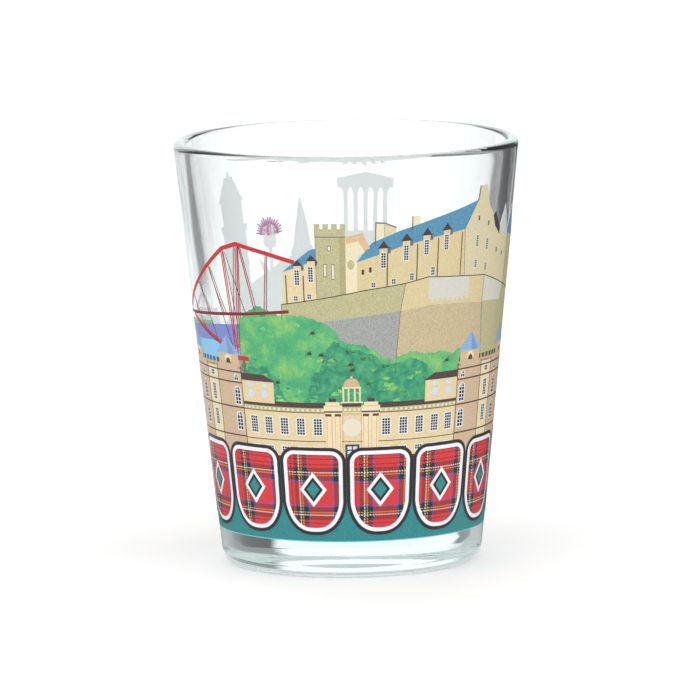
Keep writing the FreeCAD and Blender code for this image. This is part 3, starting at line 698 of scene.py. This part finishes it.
def triangulate(add, cut):
    verts, edges, faces = [], [], []
    spans = {}
    polys = [(p, True) for p in map(clean, add) if p] + [(p, False) for p in map(clean, cut) if p]
    for p, _ in polys:
        base = len(verts)
        verts.extend(Vector(q) for q in p)
        faces.append(list(range(base, base + len(p))))
        t0, t1 = min(q[0] for q in p), max(q[0] for q in p)
        z0, z1 = min(q[1] for q in p), max(q[1] for q in p)
        for g in range(math.ceil(t0 + 1e-4), math.floor(t1 - 1e-4) + 1):
            spans.setdefault(g, []).append((z0 - 0.01, z1 + 0.01))
    for g, ss in spans.items():
        ss.sort()
        cur = list(ss[0])
        merged = []
        for a, b in ss[1:]:
            if a <= cur[1]:
                cur[1] = max(cur[1], b)
            else:
                merged.append(cur)
                cur = [a, b]
        merged.append(cur)
        for a, b in merged:
            verts.append(Vector((g, a)))
            verts.append(Vector((g, b)))
            edges.append((len(verts) - 2, len(verts) - 1))
    vo, eo, fo, _, _, _ = delaunay_2d_cdt(verts, edges, faces, 0, 1e-6, False)
    mids = sorted(((sum(vo[i][0] for i in f) / len(f), sum(vo[i][1] for i in f) / len(f), n) for n, f in enumerate(fo)))
    mt = [m[0] for m in mids]
    state = [0] * len(fo)
    for p, is_add in polys:
        z0, z1 = min(q[1] for q in p), max(q[1] for q in p)
        lo = bisect.bisect_left(mt, min(q[0] for q in p))
        hi = bisect.bisect_right(mt, max(q[0] for q in p))
        for t, z, n in mids[lo:hi]:
            if z < z0 or z > z1 or state[n] < 0 or (is_add and state[n] > 0):
                continue
            inside = False
            x0, y0 = p[-1]
            for x1, y1 in p:
                if (y0 > z) != (y1 > z) and t < (x1 - x0) * (z - y0) / (y1 - y0) + x0:
                    inside = not inside
                x0, y0 = x1, y1
            if inside:
                state[n] = 1 if is_add else -1
    return vo, [f for n, f in enumerate(fo) if state[n] > 0]


def film(store, add, cut, low, high):
    vo, tris = triangulate(add, cut)
    used = {}
    pts = []

    def idx(i):
        if i not in used:
            used[i] = len(pts)
            pts.append((vo[i][0], vo[i][1]))
        return used[i]

    tt = [[idx(i) for i in f] for f in tris]
    base = len(store["v"])
    n = len(pts)
    for off in (high, low):
        for t, z in pts:
            store["v"].append(on_cone(t, z, off))
            store["uv"].append((t, z))
            a = math.radians(t)
            s = 1.0 if off == high else -1.0
            store["n"].append((s * math.sin(a) * COS_A, -s * math.cos(a) * COS_A, -s * SIN_A))
    edge = {}
    for f in tt:
        a = sum(pts[f[i - 1]][0] * pts[f[i]][1] - pts[f[i]][0] * pts[f[i - 1]][1] for i in range(len(f)))
        if a < 0:
            f.reverse()
        store["f"].append(tuple(base + i for i in f))
        store["f"].append(tuple(base + n + i for i in reversed(f)))
        for i in range(len(f)):
            e = (f[i - 1], f[i])
            edge[e] = edge.get(e, 0) + 1
    for (a, b), _ in list(edge.items()):
        if (b, a) not in edge:
            store["f"].append((base + b, base + a, base + n + a, base + n + b))


FILMS = {}
EVERY = []
NO_WHITE = {"ink_pink"}
# inks that only ever lie on other areas, so the white under those already carries them
WITHIN = {"ink_white", "ink_tartan", "ink_pane_blue", "ink_cyan", "ink_roundel", "ink_pale_blue_line", "ink_green_dark", "ink_green_light",
          "ink_bark", "ink_black", "ink_stone_shade", "ink_khaki_dark"}
for (ink, layer) in sorted(ART, key=lambda k: (k[0], k[1])):
    a = ART[(ink, layer)]
    store = FILMS.setdefault(ink, {"v": [], "f": [], "uv": [], "n": []})
    top = LAYER_0 + LAYER_STEP * layer
    low = EMBED if ink in NO_WHITE else WHITE_TOP - 0.002
    film(store, a["add"], a["cut"], low if layer <= 2 or ink in NO_WHITE else top - LAYER_STEP * 1.5, top)
    if ink not in NO_WHITE and ink not in WITHIN:
        EVERY.extend(a["add"])
c = -147.6
FILMS["print_white"] = {"v": [], "f": [], "uv": [], "n": []}
EVERY.append(rect(LEFT_END, RIGHT_END, PRINT_LOW, 17.6))
film(FILMS["print_white"], EVERY + [disc(c, 44.9, 1.4, 1.3, n=24)], [], EMBED, WHITE_TOP)


# ------------------------------------------------------------ materials
def srgb(c):
    return tuple(((v / 255) / 12.92 if v / 255 <= 0.04045 else ((v / 255 + 0.055) / 1.055) ** 2.4) for v in c) + (1.0,)


def nodes_of(name):
    m = bpy.data.materials.new(name)
    m.use_nodes = True
    nt = m.node_tree
    return m, nt, nt.nodes["Principled BSDF"]


def ink_material(name, rgb, grain=0.10, dark=None, light=None, mottle=0.0, scale=5200.0, painted_glow=0.0):
    """Fired enamel: the ink's colour with a fine printed grain, and a broader mottle where the drawing has one."""
    m, nt, b = nodes_of(name)
    if painted_glow:  # painted glow: the film emits a faint light of its own, standing in for light that passes the thin fired layer from its far side
        b.inputs["Emission Color"].default_value = (0.93, 0.98, 0.97, 1)
        b.inputs["Emission Strength"].default_value = painted_glow
    N, L = nt.nodes, nt.links
    tc = N.new("ShaderNodeTexCoord")
    fine = N.new("ShaderNodeTexNoise")
    fine.inputs["Scale"].default_value = scale
    fine.inputs["Detail"].default_value = 2.0
    fine.inputs["Roughness"].default_value = 0.6
    L.new(tc.outputs["Object"], fine.inputs["Vector"])
    ramp = N.new("ShaderNodeValToRGB")
    lo = tuple(max(0.0, v * (1 - grain * 1.6)) for v in srgb(rgb)[:3]) + (1.0,)
    hi = tuple(min(1.0, v * (1 + grain * 1.2) + grain * 0.02) for v in srgb(rgb)[:3]) + (1.0,)
    ramp.color_ramp.elements[0].position, ramp.color_ramp.elements[0].color = 0.32, lo
    ramp.color_ramp.elements[1].position, ramp.color_ramp.elements[1].color = 0.68, hi
    L.new(fine.outputs["Fac"], ramp.inputs["Fac"])
    out = ramp.outputs["Color"]
    if mottle:
        broad = N.new("ShaderNodeTexNoise")
        broad.inputs["Scale"].default_value = mottle
        broad.inputs["Detail"].default_value = 5.0
        broad.inputs["Roughness"].default_value = 0.62
        L.new(tc.outputs["Object"], broad.inputs["Vector"])
        r2 = N.new("ShaderNodeValToRGB")
        e = r2.color_ramp.elements
        e[0].position, e[0].color = 0.36, srgb(dark)
        e[1].position, e[1].color = 0.66, srgb(light)
        mid = e.new(0.5)
        mid.color = srgb(rgb)
        L.new(broad.outputs["Fac"], r2.inputs["Fac"])
        mix = N.new("ShaderNodeMix")
        mix.data_type = "RGBA"
        mix.blend_type = "MULTIPLY"
        mix.inputs["Factor"].default_value = 1.0
        g = N.new("ShaderNodeValToRGB")
        g.color_ramp.elements[0].position, g.color_ramp.elements[0].color = 0.3, (1 - grain * 1.5,) * 3 + (1,)
        g.color_ramp.elements[1].position, g.color_ramp.elements[1].color = 0.66, (1, 1, 1, 1)
        L.new(fine.outputs["Fac"], g.inputs["Fac"])
        L.new(r2.outputs["Color"], mix.inputs["A"])
        L.new(g.outputs["Color"], mix.inputs["B"])
        out = mix.outputs["Result"]
    L.new(out, b.inputs["Base Color"])
    b.inputs["Roughness"].default_value = 0.42
    b.inputs["Specular IOR Level"].default_value = 0.35
    return m


def tartan_material():
    """Woven check from warp and weft colours crossed by a twill, in unrolled millimetres."""
    m, nt, b = nodes_of("ink_tartan")
    N, L = nt.nodes, nt.links
    uv = N.new("ShaderNodeUVMap")
    uv.uv_map = "unrolled"
    sep = N.new("ShaderNodeSeparateXYZ")
    L.new(uv.outputs["UV"], sep.inputs["Vector"])

    def math_node(op, a, bb=None):
        n = N.new("ShaderNodeMath")
        n.operation = op
        for i, v in enumerate((a, bb)):
            if v is None:
                continue
            if isinstance(v, (int, float)):
                n.inputs[i].default_value = v
            else:
                L.new(v, n.inputs[i])
        return n.outputs["Value"]

    mm_u = math_node("MULTIPLY", sep.outputs["X"], 100.0)
    mm_v = math_node("MULTIPLY", sep.outputs["Y"], 100.0)
    red, deep, blue, yel, wht, blk = (226, 58, 60), (30, 48, 46), (74, 96, 200), (240, 184, 66), (246, 240, 232), (44, 36, 40)
    stops = [(0.0, red), (1.72, blue), (1.92, deep), (2.66, yel), (2.82, deep), (3.04, wht), (3.2, deep), (3.84, red), (4.24, blk), (4.38, red)]
    half = 4.72

    def sett(value, phase):
        shifted = math_node("ADD", value, phase)
        tri = math_node("PINGPONG", shifted, half)
        fac = math_node("DIVIDE", tri, half)
        r = N.new("ShaderNodeValToRGB")
        r.color_ramp.interpolation = "CONSTANT"
        e = r.color_ramp.elements
        e[0].position, e[0].color = 0.0, srgb(stops[0][1])
        e[1].position, e[1].color = stops[1][0] / half, srgb(stops[1][1])
        for p, c in stops[2:]:
            x = e.new(p / half)
            x.color = srgb(c)
        L.new(fac, r.inputs["Fac"])
        return r.outputs["Color"]

    warp = sett(mm_u, 901.2)
    weft = sett(mm_v, 895.0 - 13.9 + 3.2)
    diag = math_node("ADD", mm_u, mm_v)
    saw = math_node("FRACT", math_node("DIVIDE", math_node("ADD", diag, 900.0), 0.42))
    mask = math_node("GREATER_THAN", saw, 0.5)
    mix = N.new("ShaderNodeMix")
    mix.data_type = "RGBA"
    L.new(mask, mix.inputs["Factor"])
    L.new(warp, mix.inputs["A"])
    L.new(weft, mix.inputs["B"])
    tc = N.new("ShaderNodeTexCoord")
    fine = N.new("ShaderNodeTexNoise")
    fine.inputs["Scale"].default_value = 5200.0
    L.new(tc.outputs["Object"], fine.inputs["Vector"])
    g = N.new("ShaderNodeValToRGB")
    g.color_ramp.elements[0].position, g.color_ramp.elements[0].color = 0.3, (0.86, 0.86, 0.86, 1)
    g.color_ramp.elements[1].position, g.color_ramp.elements[1].color = 0.7, (1, 1, 1, 1)
    L.new(fine.outputs["Fac"], g.inputs["Fac"])
    mul = N.new("ShaderNodeMix")
    mul.data_type = "RGBA"
    mul.blend_type = "MULTIPLY"
    mul.inputs["Factor"].default_value = 1.0
    L.new(mix.outputs["Result"], mul.inputs["A"])
    L.new(g.outputs["Color"], mul.inputs["B"])
    L.new(mul.outputs["Result"], b.inputs["Base Color"])
    b.inputs["Roughness"].default_value = 0.42
    b.inputs["Specular IOR Level"].default_value = 0.35
    return m


def glass_material():
    m, nt, b = nodes_of("clear_glass")
    N, L = nt.nodes, nt.links
    b.inputs["Base Color"].default_value = (1, 1, 1, 1)
    b.inputs["Roughness"].default_value = 0.0
    b.inputs["IOR"].default_value = 1.5
    b.inputs["Transmission Weight"].default_value = 1.0
    # faint waviness of pressed glass
    tc = N.new("ShaderNodeTexCoord")
    wave = N.new("ShaderNodeTexNoise")
    wave.inputs["Scale"].default_value = 95.0
    wave.inputs["Detail"].default_value = 1.5
    L.new(tc.outputs["Object"], wave.inputs["Vector"])
    bump = N.new("ShaderNodeBump")
    bump.inputs["Strength"].default_value = 0.12
    bump.inputs["Distance"].default_value = 0.0004
    L.new(wave.outputs["Fac"], bump.inputs["Height"])
    L.new(bump.outputs["Normal"], b.inputs["Normal"])
    vol = N.new("ShaderNodeVolumeAbsorption")
    vol.inputs["Color"].default_value = (0.80, 0.93, 0.92, 1)
    vol.inputs["Density"].default_value = 14.0
    L.new(vol.outputs["Volume"], N["Material Output"].inputs["Volume"])
    return m


INKS = {
    # the underbase gets a painted glow: it emits a faint light of its own in place of light passing the thin enamel
    # from behind
    "print_white": dict(rgb=(252, 253, 252), grain=0.004, painted_glow=0.22),
    "ink_black": dict(rgb=(44, 39, 40), grain=0.12),
    "ink_white": dict(rgb=(244, 244, 248), grain=0.02),
    "ink_teal": dict(rgb=(48, 138, 140), grain=0.12),
    "ink_cyan": dict(rgb=(120, 208, 214), grain=0.05),
    "ink_sandstone": dict(rgb=(233, 210, 166), grain=0.07),
    "ink_stone_light": dict(rgb=(242, 222, 182), grain=0.05),
    "ink_stone_shade": dict(rgb=(222, 186, 146), grain=0.05),
    "ink_peach": dict(rgb=(212, 180, 142), grain=0.08),
    "ink_tan": dict(rgb=(214, 184, 152), grain=0.08),
    "ink_dark_brown": dict(rgb=(78, 66, 60), grain=0.14),
    "ink_khaki": dict(rgb=(194, 186, 142), grain=0.12),
    "ink_khaki_dark": dict(rgb=(180, 170, 124), grain=0.08),
    "ink_cream": dict(rgb=(238, 224, 188), grain=0.05),
    "ink_cream_dark": dict(rgb=(222, 208, 170), grain=0.06),
    "ink_parapet": dict(rgb=(216, 212, 200), grain=0.04),
    "ink_roundel": dict(rgb=(236, 222, 200), grain=0.03),
    "ink_green_pale": dict(rgb=(150, 184, 150), grain=0.06),
    "ink_slate_blue": dict(rgb=(88, 148, 180), grain=0.16),
    "ink_pale_blue": dict(rgb=(150, 184, 226), grain=0.06),
    "ink_pale_blue_line": dict(rgb=(122, 158, 208), grain=0.04),
    "ink_pane_blue": dict(rgb=(206, 222, 238), grain=0.03),
    "ink_dormer": dict(rgb=(66, 56, 66), grain=0.10),
    "ink_outline_grey": dict(rgb=(110, 106, 112), grain=0.10),
    "ink_bark": dict(rgb=(78, 66, 48), grain=0.12),
    "ink_rock_tan": dict(rgb=(204, 184, 146), grain=0.12),
    "ink_rock_tan_light": dict(rgb=(222, 202, 156), grain=0.07),
    "ink_grey": dict(rgb=(166, 166, 162), grain=0.14),
    "ink_bridge_red": dict(rgb=(200, 52, 54), grain=0.08),
    "ink_bridge_dark": dict(rgb=(84, 40, 48), grain=0.08),
    "ink_bridge_deck": dict(rgb=(132, 36, 46), grain=0.08),
    "ink_water_blue": dict(rgb=(130, 142, 206), grain=0.06),
    "ink_sky_blue": dict(rgb=(142, 204, 244), grain=0.04),
    "ink_pink": dict(rgb=(226, 120, 190), grain=0.06),
    "ink_green": dict(rgb=(98, 190, 122), grain=0.14, dark=(74, 172, 122), light=(146, 206, 118), mottle=360.0),
    "ink_green_dark": dict(rgb=(66, 162, 118), grain=0.14, dark=(50, 138, 108), light=(92, 182, 122), mottle=900.0),
    "ink_green_light": dict(rgb=(136, 206, 118), grain=0.12, dark=(104, 192, 120), light=(170, 216, 116), mottle=900.0),
    "ink_hill": dict(rgb=(104, 168, 96), grain=0.12, dark=(74, 148, 90), light=(146, 186, 104), mottle=300.0),
}

STANDS_FOR = {
    "print_white": ["print_underbase"],
    "ink_teal": ["ground_teal"],
    "ink_black": ["shield_edge_black"],
    "ink_white": ["shield_edge_white"],
    "ink_tartan": ["shield_tartan"],
    "ink_sandstone": ["hall_stone"],
    "ink_dark_brown": ["hall_roofs"],
    "ink_peach": ["hall_cupola"],
    "ink_tan": ["tower_stone", "terrace_stone"],
    "ink_pale_blue": ["tower_caps"],
    "ink_green": ["trees_green", "flower_green"],
    "ink_hill": ["hill_green"],
    "ink_cream_dark": ["castle_walls"],
    "ink_slate_blue": ["castle_roofs", "terrace_roofs"],
    "ink_khaki": ["rampart_khaki"],
    "ink_rock_tan": ["rock_tan"],
    "ink_rock_tan_light": ["clock_tower_stone"],
    "ink_grey": ["rock_grey", "chapel_stone"],
    "ink_parapet": ["monument_stone"],
    "ink_bridge_red": ["bridge_red"],
    "ink_water_blue": ["water_blue"],
    "ink_pink": ["flower_pink"],
}

glass = make_glass()
glass.data.materials.append(glass_material())
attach(glass, "root")
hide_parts("glass_body")

for ink, st in FILMS.items():
    ob = new_mesh(ink, st["v"], st["f"])
    me = ob.data
    uv = me.uv_layers.new(name="unrolled")
    loops = me.loops
    for lp in loops:
        t, z = st["uv"][lp.vertex_index]
        uv.data[lp.index].uv = (t * math.radians(1) * 20.1 / 100.0, z / 100.0)
    me.normals_split_custom_set([st["n"][lp.vertex_index] for lp in loops])
    me.materials.append(tartan_material() if ink == "ink_tartan" else ink_material(ink, **INKS[ink]))
    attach(ob, "root")
    if ink in STANDS_FOR:
        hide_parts(*STANDS_FOR[ink])


# ------------------------------------------------------------ stage, light, camera
floor = new_mesh("floor", [(-3, -3, -0.00002), (3, -3, -0.00002), (3, 3, -0.00002), (-3, 3, -0.00002)], [(0, 1, 2, 3)], False)
fm, fnt, fb = nodes_of("floor_white")
fb.inputs["Roughness"].default_value = 0.9
fb.inputs["Emission Strength"].default_value = 0.2


def compass_grey_ramp(nt, x, y, stops):
    """Grey level by compass direction round the glass; 0.5 is the camera's side, 0.75 is +X."""
    def mth(op, a, b=None):
        n = nt.nodes.new("ShaderNodeMath")
        n.operation = op
        for i, v in enumerate((a, b)):
            if v is None:
                continue
            if isinstance(v, (int, float)):
                n.inputs[i].default_value = v
            else:
                nt.links.new(v, n.inputs[i])
        return n.outputs["Value"]

    az = mth("ADD", mth("DIVIDE", mth("ARCTAN2", x, mth("MULTIPLY", y, -1.0)), 2 * math.pi), 0.5)
    r = nt.nodes.new("ShaderNodeValToRGB")
    e = r.color_ramp.elements
    e[0].position, e[0].color = stops[0][0], tuple(stops[0][1]) + (1,)
    e[1].position, e[1].color = stops[-1][0], tuple(stops[-1][1]) + (1,)
    for p, v in stops[1:-1]:
        x_ = e.new(p)
        x_.color = tuple(v) + (1,)
    nt.links.new(az, r.inputs["Fac"])
    return r.outputs["Color"]


def g(v):
    return (v * 0.96, v * 0.99, v)


# painted shade on the floor: grey and near-black sectors by compass direction, seen only by reflected and refracted
# rays (the camera sees plain white), so the glass shows dark bands
FLOOR_PAINTED_SHADE = [(0.0, g(0.92)), (0.085, g(0.92)), (0.105, g(0.14)), (0.17, g(0.26)), (0.25, g(0.55)), (0.30, g(0.9)), (0.5, g(0.92)), (0.70, g(0.9)),
         (0.76, g(0.6)), (0.83, g(0.3)), (0.90, g(0.03)), (0.945, g(0.03)), (0.955, g(0.92)), (1.0, g(0.92))]
geo = fnt.nodes.new("ShaderNodeNewGeometry")
fsep = fnt.nodes.new("ShaderNodeSeparateXYZ")
fnt.links.new(geo.outputs["Position"], fsep.inputs["Vector"])
floor_shade_col = compass_grey_ramp(fnt, fsep.outputs["X"], fsep.outputs["Y"], FLOOR_PAINTED_SHADE)
flp = fnt.nodes.new("ShaderNodeLightPath")
fmix = fnt.nodes.new("ShaderNodeMix")
fmix.data_type = "RGBA"
fnt.links.new(flp.outputs["Is Camera Ray"], fmix.inputs["Factor"])
# the painted floor shade stands far out and close in; the ring of floor between them, seen through the cup from above,
# stays white
frad = fnt.nodes.new("ShaderNodeVectorMath")
frad.operation = "LENGTH"
fnt.links.new(geo.outputs["Position"], frad.inputs[0])
fring = fnt.nodes.new("ShaderNodeValToRGB")
re_ = fring.color_ramp.elements
re_[0].position, re_[0].color = 0.060, (0, 0, 0, 1)
re_[1].position, re_[1].color = 0.180, (0, 0, 0, 1)
for p_, v_ in ((0.072, 0.88), (0.150, 0.88)):
    x_ = re_.new(p_)
    x_.color = (v_, v_, v_, 1)
fnt.links.new(frad.outputs["Value"], fring.inputs["Fac"])
fopen = fnt.nodes.new("ShaderNodeMix")
fopen.data_type = "RGBA"
fside = fnt.nodes.new("ShaderNodeMath")  # only on the -X side; on the +X side the painted shade reaches in to the foot
fside.operation = "LESS_THAN"
fnt.links.new(fsep.outputs["X"], fside.inputs[0])
fside.inputs[1].default_value = 0.0
fboth = fnt.nodes.new("ShaderNodeMath")
fboth.operation = "MULTIPLY"
fnt.links.new(fring.outputs["Color"], fboth.inputs[0])
fnt.links.new(fside.outputs["Value"], fboth.inputs[1])
funder = fnt.nodes.new("ShaderNodeMath")  # no painted shade under the foot either
funder.operation = "LESS_THAN"
fnt.links.new(frad.outputs["Value"], funder.inputs[0])
funder.inputs[1].default_value = 0.022
fany = fnt.nodes.new("ShaderNodeMath")
fany.operation = "MAXIMUM"
fnt.links.new(fboth.outputs["Value"], fany.inputs[0])
fnt.links.new(funder.outputs["Value"], fany.inputs[1])
fnt.links.new(fany.outputs["Value"], fopen.inputs["Factor"])
fnt.links.new(floor_shade_col, fopen.inputs["A"])
fopen.inputs["B"].default_value = (0.90, 0.92, 0.93, 1)
fnt.links.new(fopen.outputs["Result"], fmix.inputs["A"])
fmix.inputs["B"].default_value = (0.95, 0.95, 0.95, 1)
fnt.links.new(fmix.outputs["Result"], fb.inputs["Base Color"])
fnt.links.new(fmix.outputs["Result"], fb.inputs["Emission Color"])
floor.data.materials.append(fm)

world = bpy.data.worlds.new("studio")
bpy.context.scene.world = world
world.use_nodes = True
wn, wl = world.node_tree.nodes, world.node_tree.links
bg = wn["Background"]
tc = wn.new("ShaderNodeTexCoord")
sep = wn.new("ShaderNodeSeparateXYZ")
wl.new(tc.outputs["Generated"], sep.inputs["Vector"])


# a bright tent with grey side panels
wcol = compass_grey_ramp(world.node_tree, sep.outputs["X"], sep.outputs["Y"],
                 [(0.0, g(1.0)), (0.10, g(1.0)), (0.135, g(0.5)), (0.25, g(0.62)), (0.30, g(0.98)), (0.5, g(1.0)), (0.72, g(1.0)), (0.80, g(0.6)),
                  (0.86, g(0.25)), (0.925, g(0.25)), (0.94, g(1.0)), (1.0, g(1.0))])
# the overhead soft box is brighter, with a warm edge low on its far side
el = wn.new("ShaderNodeMath")
el.operation = "ARCSINE"
wl.new(sep.outputs["Z"], el.inputs[0])
el01 = wn.new("ShaderNodeMath")
el01.operation = "DIVIDE"
wl.new(el.outputs["Value"], el01.inputs[0])
el01.inputs[1].default_value = math.pi / 2
top = wn.new("ShaderNodeValToRGB")
te = top.color_ramp.elements
te[0].position, te[0].color = 0.0, (0.72, 0.72, 0.72, 1)
te[1].position, te[1].color = 1.0, (1, 1, 1, 1)
for p_, c_ in ((0.36, (0.72, 0.72, 0.72, 1)), (0.5, (1, 1, 1, 1)), (0.60, (1, 1, 1, 1)), (0.62, (0.30, 0.14, 0.07, 1)), (0.70, (0.30, 0.14, 0.07, 1)), (0.72, (1, 1, 1, 1))):
    x_ = te.new(p_)
    x_.color = c_
wl.new(el01.outputs["Value"], top.inputs["Fac"])
wmul = wn.new("ShaderNodeMix")
wmul.data_type = "RGBA"
wmul.blend_type = "MULTIPLY"
wmul.inputs["Factor"].default_value = 1.0
wl.new(wcol, wmul.inputs["A"])
wl.new(top.outputs["Color"], wmul.inputs["B"])
wcol = wmul.outputs["Result"]
lp = wn.new("ShaderNodeLightPath")
mixc = wn.new("ShaderNodeMix")
mixc.data_type = "RGBA"
wl.new(lp.outputs["Is Camera Ray"], mixc.inputs["Factor"])
wl.new(wcol, mixc.inputs["A"])
mixc.inputs["B"].default_value = (0.8, 0.8, 0.8, 1)
wl.new(mixc.outputs["Result"], bg.inputs["Color"])
bg.inputs["Strength"].default_value = 1.55

target = Vector((0, 0, 0.031))
elev, dist = math.radians(8.0), 1.2
cam_data = bpy.data.cameras.new("camera")
cam = bpy.data.objects.new("camera", cam_data)
bpy.context.scene.collection.objects.link(cam)
back_dir = Vector((0, -math.cos(elev), math.sin(elev)))
cam.location = target + back_dir * dist
q = (-back_dir).to_track_quat("-Z", "Y")
roll = math.radians(-0.85)
from mathutils import Quaternion
cam.rotation_mode = "QUATERNION"
cam.rotation_quaternion = q @ Quaternion((0, 0, 1), roll)
cam_data.sensor_width = 36
cam_data.lens = 6.892 * 1200 / 700 * 36
cam_data.shift_x = 0.0013
cam_data.shift_y = -0.0050
cam_data.clip_start, cam_data.clip_end = 0.01, 20
bpy.context.scene.camera = cam

sc = bpy.context.scene
sc.view_settings.view_transform = "Standard"
sc.view_settings.look = "None"
sc.render.film_transparent = False
sc.cycles.max_bounces = 24
sc.cycles.transmission_bounces = 24
sc.cycles.glossy_bounces = 8
sc.cycles.diffuse_bounces = 14
sc.cycles.transparent_max_bounces = 16
sc.cycles.volume_bounces = 0
sc.cycles.use_denoising = True
sc.cycles.sample_clamp_indirect = 6.0

bpy.context.view_layer.update()
